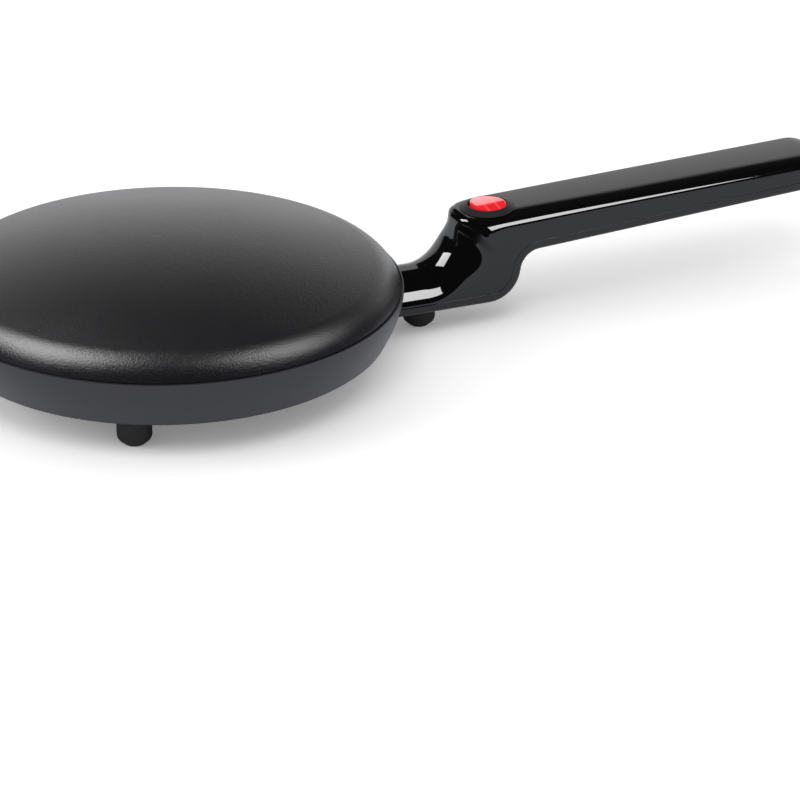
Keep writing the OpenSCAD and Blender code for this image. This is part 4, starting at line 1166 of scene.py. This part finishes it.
class BuildSwitch(bpy.types.Operator):
    """Makes the bezel and the lit lens, and dresses what the switch holds"""
    bl_idname = "crepe_maker.switch"
    bl_label = "Switch"

    def execute(self, context):
        settings = context.scene.crepe_switch
        body = make("switch_bezel", body_form(settings).moved(switch_frame(context)))
        slots = Form([], [])
        for x in (-5.5 * MM, 0, 5.5 * MM):
            slots += block((x - 0.4 * MM, -2.4 * MM, -settings.barrel_depth - ROOM),
                           (x + 0.4 * MM, 2.4 * MM, 2.5 * MM - settings.barrel_depth))
        combine(body, slots.moved(switch_frame(context)), "DIFFERENCE")
        matt = satin_plastic("switch_plastic_matt", settings.bezel_colour, 0.5, 0.03, 2600)
        finished(body, matt, "switch_plastic", "appliance", "switch_body")
        lens = make("lens_of_rocker", lens_form(settings).moved(switch_frame(context, settings.rest_angle)))
        lit_pieces("lens_pieces").objects.link(lens)
        finished(lens, lit_lens(settings), "lens_red", "rocker", "rocker_lens")
        white = satin_plastic("block_plastic_white", (0.72, 0.71, 0.67), 0.4)
        dress(white, "rocker_carrier", "rocker_plunger", "terminal_block")
        dress(bare_metal("spring_steel", (0.5, 0.5, 0.52), 0.3), "rocker_spring")
        dress(bare_metal("brass_contact_strip", (0.72, 0.5, 0.22), 0.28), "switch_terminals",
              "contact_seesaw", "terminal_screws")
        dress(lamp_glass(), "neon_lamp")
        return {"FINISHED"}


# The feet


def foot_form():
    """A rubber foot: a puck on a rounded step, with a barbed stem."""
    r, step_r, step_h, round_h, stem_r = 7.2 * MM, 4.9 * MM, 1.4 * MM, 3 * MM, 2.9 * MM
    seat = UNDERSIDE_Z - 0.05 * MM
    neck = UNDERSIDE_Z + 2.2 * MM
    tip = UNDERSIDE_Z + STEM_TOP
    barb = stem_r + 0.8 * MM
    steps = 12
    outline = [(0, 0)] + arc(step_r - step_h, step_h, step_h, -pi / 2, 0, 8)
    for k in range(1, steps + 1):
        a = pi / 2 * k / steps
        outline.append((step_r + (r - step_r) * sin(a), step_h + round_h * (1 - cos(a))))
    outline += [(r, seat, 0.4 * MM), (stem_r, seat), (stem_r, neck), (barb, neck + 0.3 * MM),
                (0.5 * barb, tip), (0, tip)]
    return revolve(rounded(outline, 4), 96)


class BuildFeet(bpy.types.Operator):
    """Makes the three rubber feet"""
    bl_idname = "crepe_maker.feet"
    bl_label = "Feet"

    def execute(self, context):
        material = rubber()
        for node in ("foot_left", "foot_right", "foot_neck"):
            foot = make("rubber_" + node, foot_form().at(*middle(node)))
            finished(foot, material, "foot_rubber", "appliance", node)
        return {"FINISHED"}


# Inner pieces that keep their CAD shape


class DressHeating(bpy.types.Operator):
    """Finishes the heater, the thermostat, the fuse and the reflector"""
    bl_idname = "crepe_maker.heating"
    bl_label = "Heating"

    def execute(self, context):
        dress(heater_sheath(), "heating_element")
        dress(bare_metal("reflector_sheet_bright", (0.78, 0.79, 0.8), 0.25, 0.03), "heat_reflector")
        dress(bare_metal("cup_aluminium", (0.74, 0.75, 0.77), 0.32), "thermostat_cup")
        dress(satin_plastic("ceramic_cream", (0.72, 0.68, 0.58), 0.5, 0.02, 1500), "thermostat_base",
              "plate_spacers")
        dress(satin_plastic("glass_sleeve_woven", (0.78, 0.75, 0.64), 0.6, 0.06, 1400), "thermal_fuse")
        return {"FINISHED"}


class DressFasteners(bpy.types.Operator):
    """Finishes the clamps, the brackets and the screws"""
    bl_idname = "crepe_maker.fasteners"
    bl_label = "Brackets and screws"

    def execute(self, context):
        dress(bare_metal("plated_steel_strip", (0.56, 0.57, 0.6), 0.34), "heater_clamps",
              "thermostat_bracket", "fuse_clip", "handle_bracket")
        dress(bare_metal("plated_steel_screw", (0.6, 0.61, 0.64), 0.26), "clamp_screws", "thermostat_screws",
              "fuse_screw", "plate_screws", "bracket_screws", "handle_screws")
        return {"FINISHED"}


class DressWiring(bpy.types.Operator):
    """Finishes the sleeves of the leads"""
    bl_idname = "crepe_maker.wiring"
    bl_label = "Wiring"

    def execute(self, context):
        dress(sleeve("lead_brown_sleeve", (0.13, 0.05, 0.022)), "lead_supply")
        dress(sleeve("lead_blue_sleeve", (0.03, 0.09, 0.3)), "lead_return")
        dress(sleeve("lead_grey_sleeve", (0.3, 0.3, 0.3)), "lead_switched", "lead_thermostat", "lead_fuse")
        return {"FINISHED"}


# The stage

# The backdrop that glossy surfaces see: where its middle lies, how far it reaches round and how high
BACKDROP_TURN = radians(66)
BACKDROP_REACH = radians(48)
BACKDROP_TOP = radians(27)
# Half the width of the soft edges of the backdrop: of its top, and of its sides
TOP_BLUR = 0.015
SIDE_BLUR = 0.04
# Radiance of the soft light, of the dark room and of the white backdrop
SOFT_LIGHT = 0.7
DARK_ROOM = 0.018
WHITE_BACKDROP = 0.78
# Glow that keeps the floor white to the camera
FLOOR_GLOW = 0.17
# Lamps round the neck: name, turn and pitch in degrees, distance, width, height and radiance. One that names
# pieces shows in their gloss alone.
LAMPS = [
    ("key_front", -116, 52, 1.6, 0.9, 0.8, 3.3),
    ("key_left", 176, 26, 1.6, 0.9, 0.6, 3.6),
    ("handle_front", -69.5, 45, 1.3, 0.72, 0.8, 15.0, "handle_pieces"),
    ("handle_back", 132, 41, 1.3, 0.5, 0.75, 12.5, "handle_pieces"),
    ("plate_right", -37, 56, 1.3, 0.68, 0.78, 5.5, "plate_pieces"),
    ("plate_left", 159, 51, 1.3, 0.93, 0.8, 7.6, "plate_pieces"),
    ("plate_back", 65, 4, 1.3, 1.4, 0.18, 0.9, "plate_pieces"),
    ("lens_back", 66, 13.5, 1.3, 1.8, 0.6, 1.4, "lens_pieces"),
]


def studio_world():
    """Plain soft light. Glossy surfaces see a dark room with a white backdrop behind the object."""
    world = bpy.data.worlds.new("studio")
    bpy.context.scene.world = world
    world.use_nodes = True
    tree = world.node_tree
    tree.nodes.clear()

    def background(strength):
        return add(tree, "ShaderNodeBackground", {"Color": (1, 1, 1, 1), "Strength": strength}).outputs[0]

    def either(ray, without, with_it):
        return add(tree, "ShaderNodeMixShader", {"Fac": path.outputs[ray], 1: without, 2: with_it}).outputs[0]

    path = add(tree, "ShaderNodeLightPath")
    place = add(tree, "ShaderNodeTexCoord").outputs["Generated"]
    z = add(tree, "ShaderNodeSeparateXYZ", {0: place}).outputs["Z"]
    middle_of_it = (cos(BACKDROP_TURN), sin(BACKDROP_TURN), 0)
    facing = add(tree, "ShaderNodeVectorMath", {0: place, 1: middle_of_it}, operation="DOT_PRODUCT")
    top, reach = sin(BACKDROP_TOP), cos(BACKDROP_REACH)
    level = ramp(tree, z, From_Min=top - TOP_BLUR, From_Max=top + TOP_BLUR, To_Min=1.0, To_Max=0.0)
    side = ramp(tree, facing.outputs["Value"], From_Min=reach - SIDE_BLUR, From_Max=reach + SIDE_BLUR)
    both = maths(tree, "MULTIPLY", level, side)
    room = background(ramp(tree, both, "LINEAR", To_Min=DARK_ROOM, To_Max=WHITE_BACKDROP))
    seen = either("Is Camera Ray", either("Is Glossy Ray", background(SOFT_LIGHT), room), background(1.0))
    add(tree, "ShaderNodeOutputWorld", {"Surface": seen})


def floor_material(colour):
    """Pale floor that is white to the camera and keeps its shadows."""
    material = bpy.data.materials.new("pale_floor")
    material.use_nodes = True
    tree = material.node_tree
    shader = tree.nodes["Principled BSDF"]
    white = (1, 1, 1, 1)
    for key, value in {"Roughness": 0.9, "Specular IOR Level": 0.0, "Emission Color": white}.items():
        shader.inputs[key].default_value = value
    seen = add(tree, "ShaderNodeLightPath").outputs["Is Camera Ray"]
    tree.links.new(mixed(tree, seen, (*colour, 1), white), shader.inputs["Base Color"])
    tree.links.new(maths(tree, "MULTIPLY", seen, FLOOR_GLOW), shader.inputs["Emission Strength"])
    return material


def lit_pieces(name):
    """The collection of pieces whose gloss shows a softbox."""
    return bpy.data.collections.get(name) or bpy.data.collections.new(name)


def softbox(name, turn, pitch, distance, width, height, radiance, pieces=None):
    """A rectangular lamp that lights everything softly, or shows only in the gloss of some pieces."""
    lamp = bpy.data.lights.new(name, "AREA")
    lamp.shape = "RECTANGLE"
    lamp.size = width
    lamp.size_y = height
    lamp.energy = radiance * pi * width * height
    thing = bpy.data.objects.new(name, lamp)
    bpy.context.scene.collection.objects.link(thing)
    neck = Vector((AXIS_X + RING_R + 35 * MM, 0, 35 * MM))
    towards = Vector((cos(pitch) * cos(turn), cos(pitch) * sin(turn), sin(pitch)))
    thing.location = neck + towards * distance
    thing.rotation_euler = (-towards).to_track_quat("-Z", "Y").to_euler()
    thing.visible_diffuse = not pieces
    thing.visible_glossy = bool(pieces)
    if pieces:
        thing.light_linking.receiver_collection = lit_pieces(pieces)


class BuildStage(bpy.types.Operator):
    """Sets up the floor, the studio light and the camera"""
    bl_idname = "crepe_maker.stage"
    bl_label = "Stage"

    def execute(self, context):
        settings = context.scene.crepe_stage
        scene = context.scene
        scene.view_settings.view_transform = "Standard"
        reach = 6.0
        floor = make("floor", block((-reach, -reach, -0.02), (reach, reach, 0.0)))
        floor.data.materials.append(floor_material(settings.floor_colour))
        studio_world()
        for name, turn, pitch, *rest in LAMPS:
            softbox(name, radians(turn), radians(pitch), *rest)
        lens = bpy.data.cameras.new("camera")
        lens.lens = settings.camera_lens
        lens.clip_end = 50
        camera = bpy.data.objects.new("camera", lens)
        scene.collection.objects.link(camera)
        turn = Matrix.Rotation(settings.camera_turn, 4, "Z")
        pitch = Matrix.Rotation(pi / 2 - settings.camera_pitch, 4, "X")
        roll = Matrix.Rotation(settings.camera_roll, 4, "Z")
        camera.matrix_world = Matrix.Translation(settings.camera_place) @ turn @ pitch @ roll
        scene.camera = camera
        return {"FINISHED"}


class CrepeMakerPanel(bpy.types.Panel):
    """Lists the pieces in the order in which they are made"""
    bl_idname = "VIEW3D_PT_crepe_maker"
    bl_label = "Crepe Maker"
    bl_space_type = "VIEW_3D"
    bl_region_type = "UI"
    bl_category = "Crepe Maker"

    def draw(self, context):
        for operator in OPERATORS:
            self.layout.operator(operator.bl_idname)
        for name in SETTINGS:
            group_of = getattr(context.scene, name)
            box = self.layout.box()
            for key in group_of.__annotations__:
                box.prop(group_of, key)


OPERATORS = (BuildStage, BuildPlate, BuildBase, BuildHandle, BuildSwitch, BuildFeet, DressHeating,
             DressFasteners, DressWiring)
SETTINGS = {"crepe_plate": PlateSettings, "crepe_base": BaseSettings, "crepe_handle": HandleSettings,
            "crepe_switch": SwitchSettings, "crepe_stage": StageSettings}


def register():
    for cls in (*SETTINGS.values(), *OPERATORS, CrepeMakerPanel):
        bpy.utils.register_class(cls)
    for name, cls in SETTINGS.items():
        setattr(bpy.types.Scene, name, PointerProperty(type=cls))


def unregister():
    for name in SETTINGS:
        delattr(bpy.types.Scene, name)
    for cls in (CrepeMakerPanel, *reversed(OPERATORS), *reversed(SETTINGS.values())):
        bpy.utils.unregister_class(cls)


def main():
    register()
    bpy.ops.crepe_maker.stage()
    bpy.ops.crepe_maker.plate()
    bpy.ops.crepe_maker.base()
    bpy.ops.crepe_maker.handle()
    bpy.ops.crepe_maker.switch()
    bpy.ops.crepe_maker.feet()
    bpy.ops.crepe_maker.heating()
    bpy.ops.crepe_maker.fasteners()
    bpy.ops.crepe_maker.wiring()


if __name__ == "__main__":
    main()
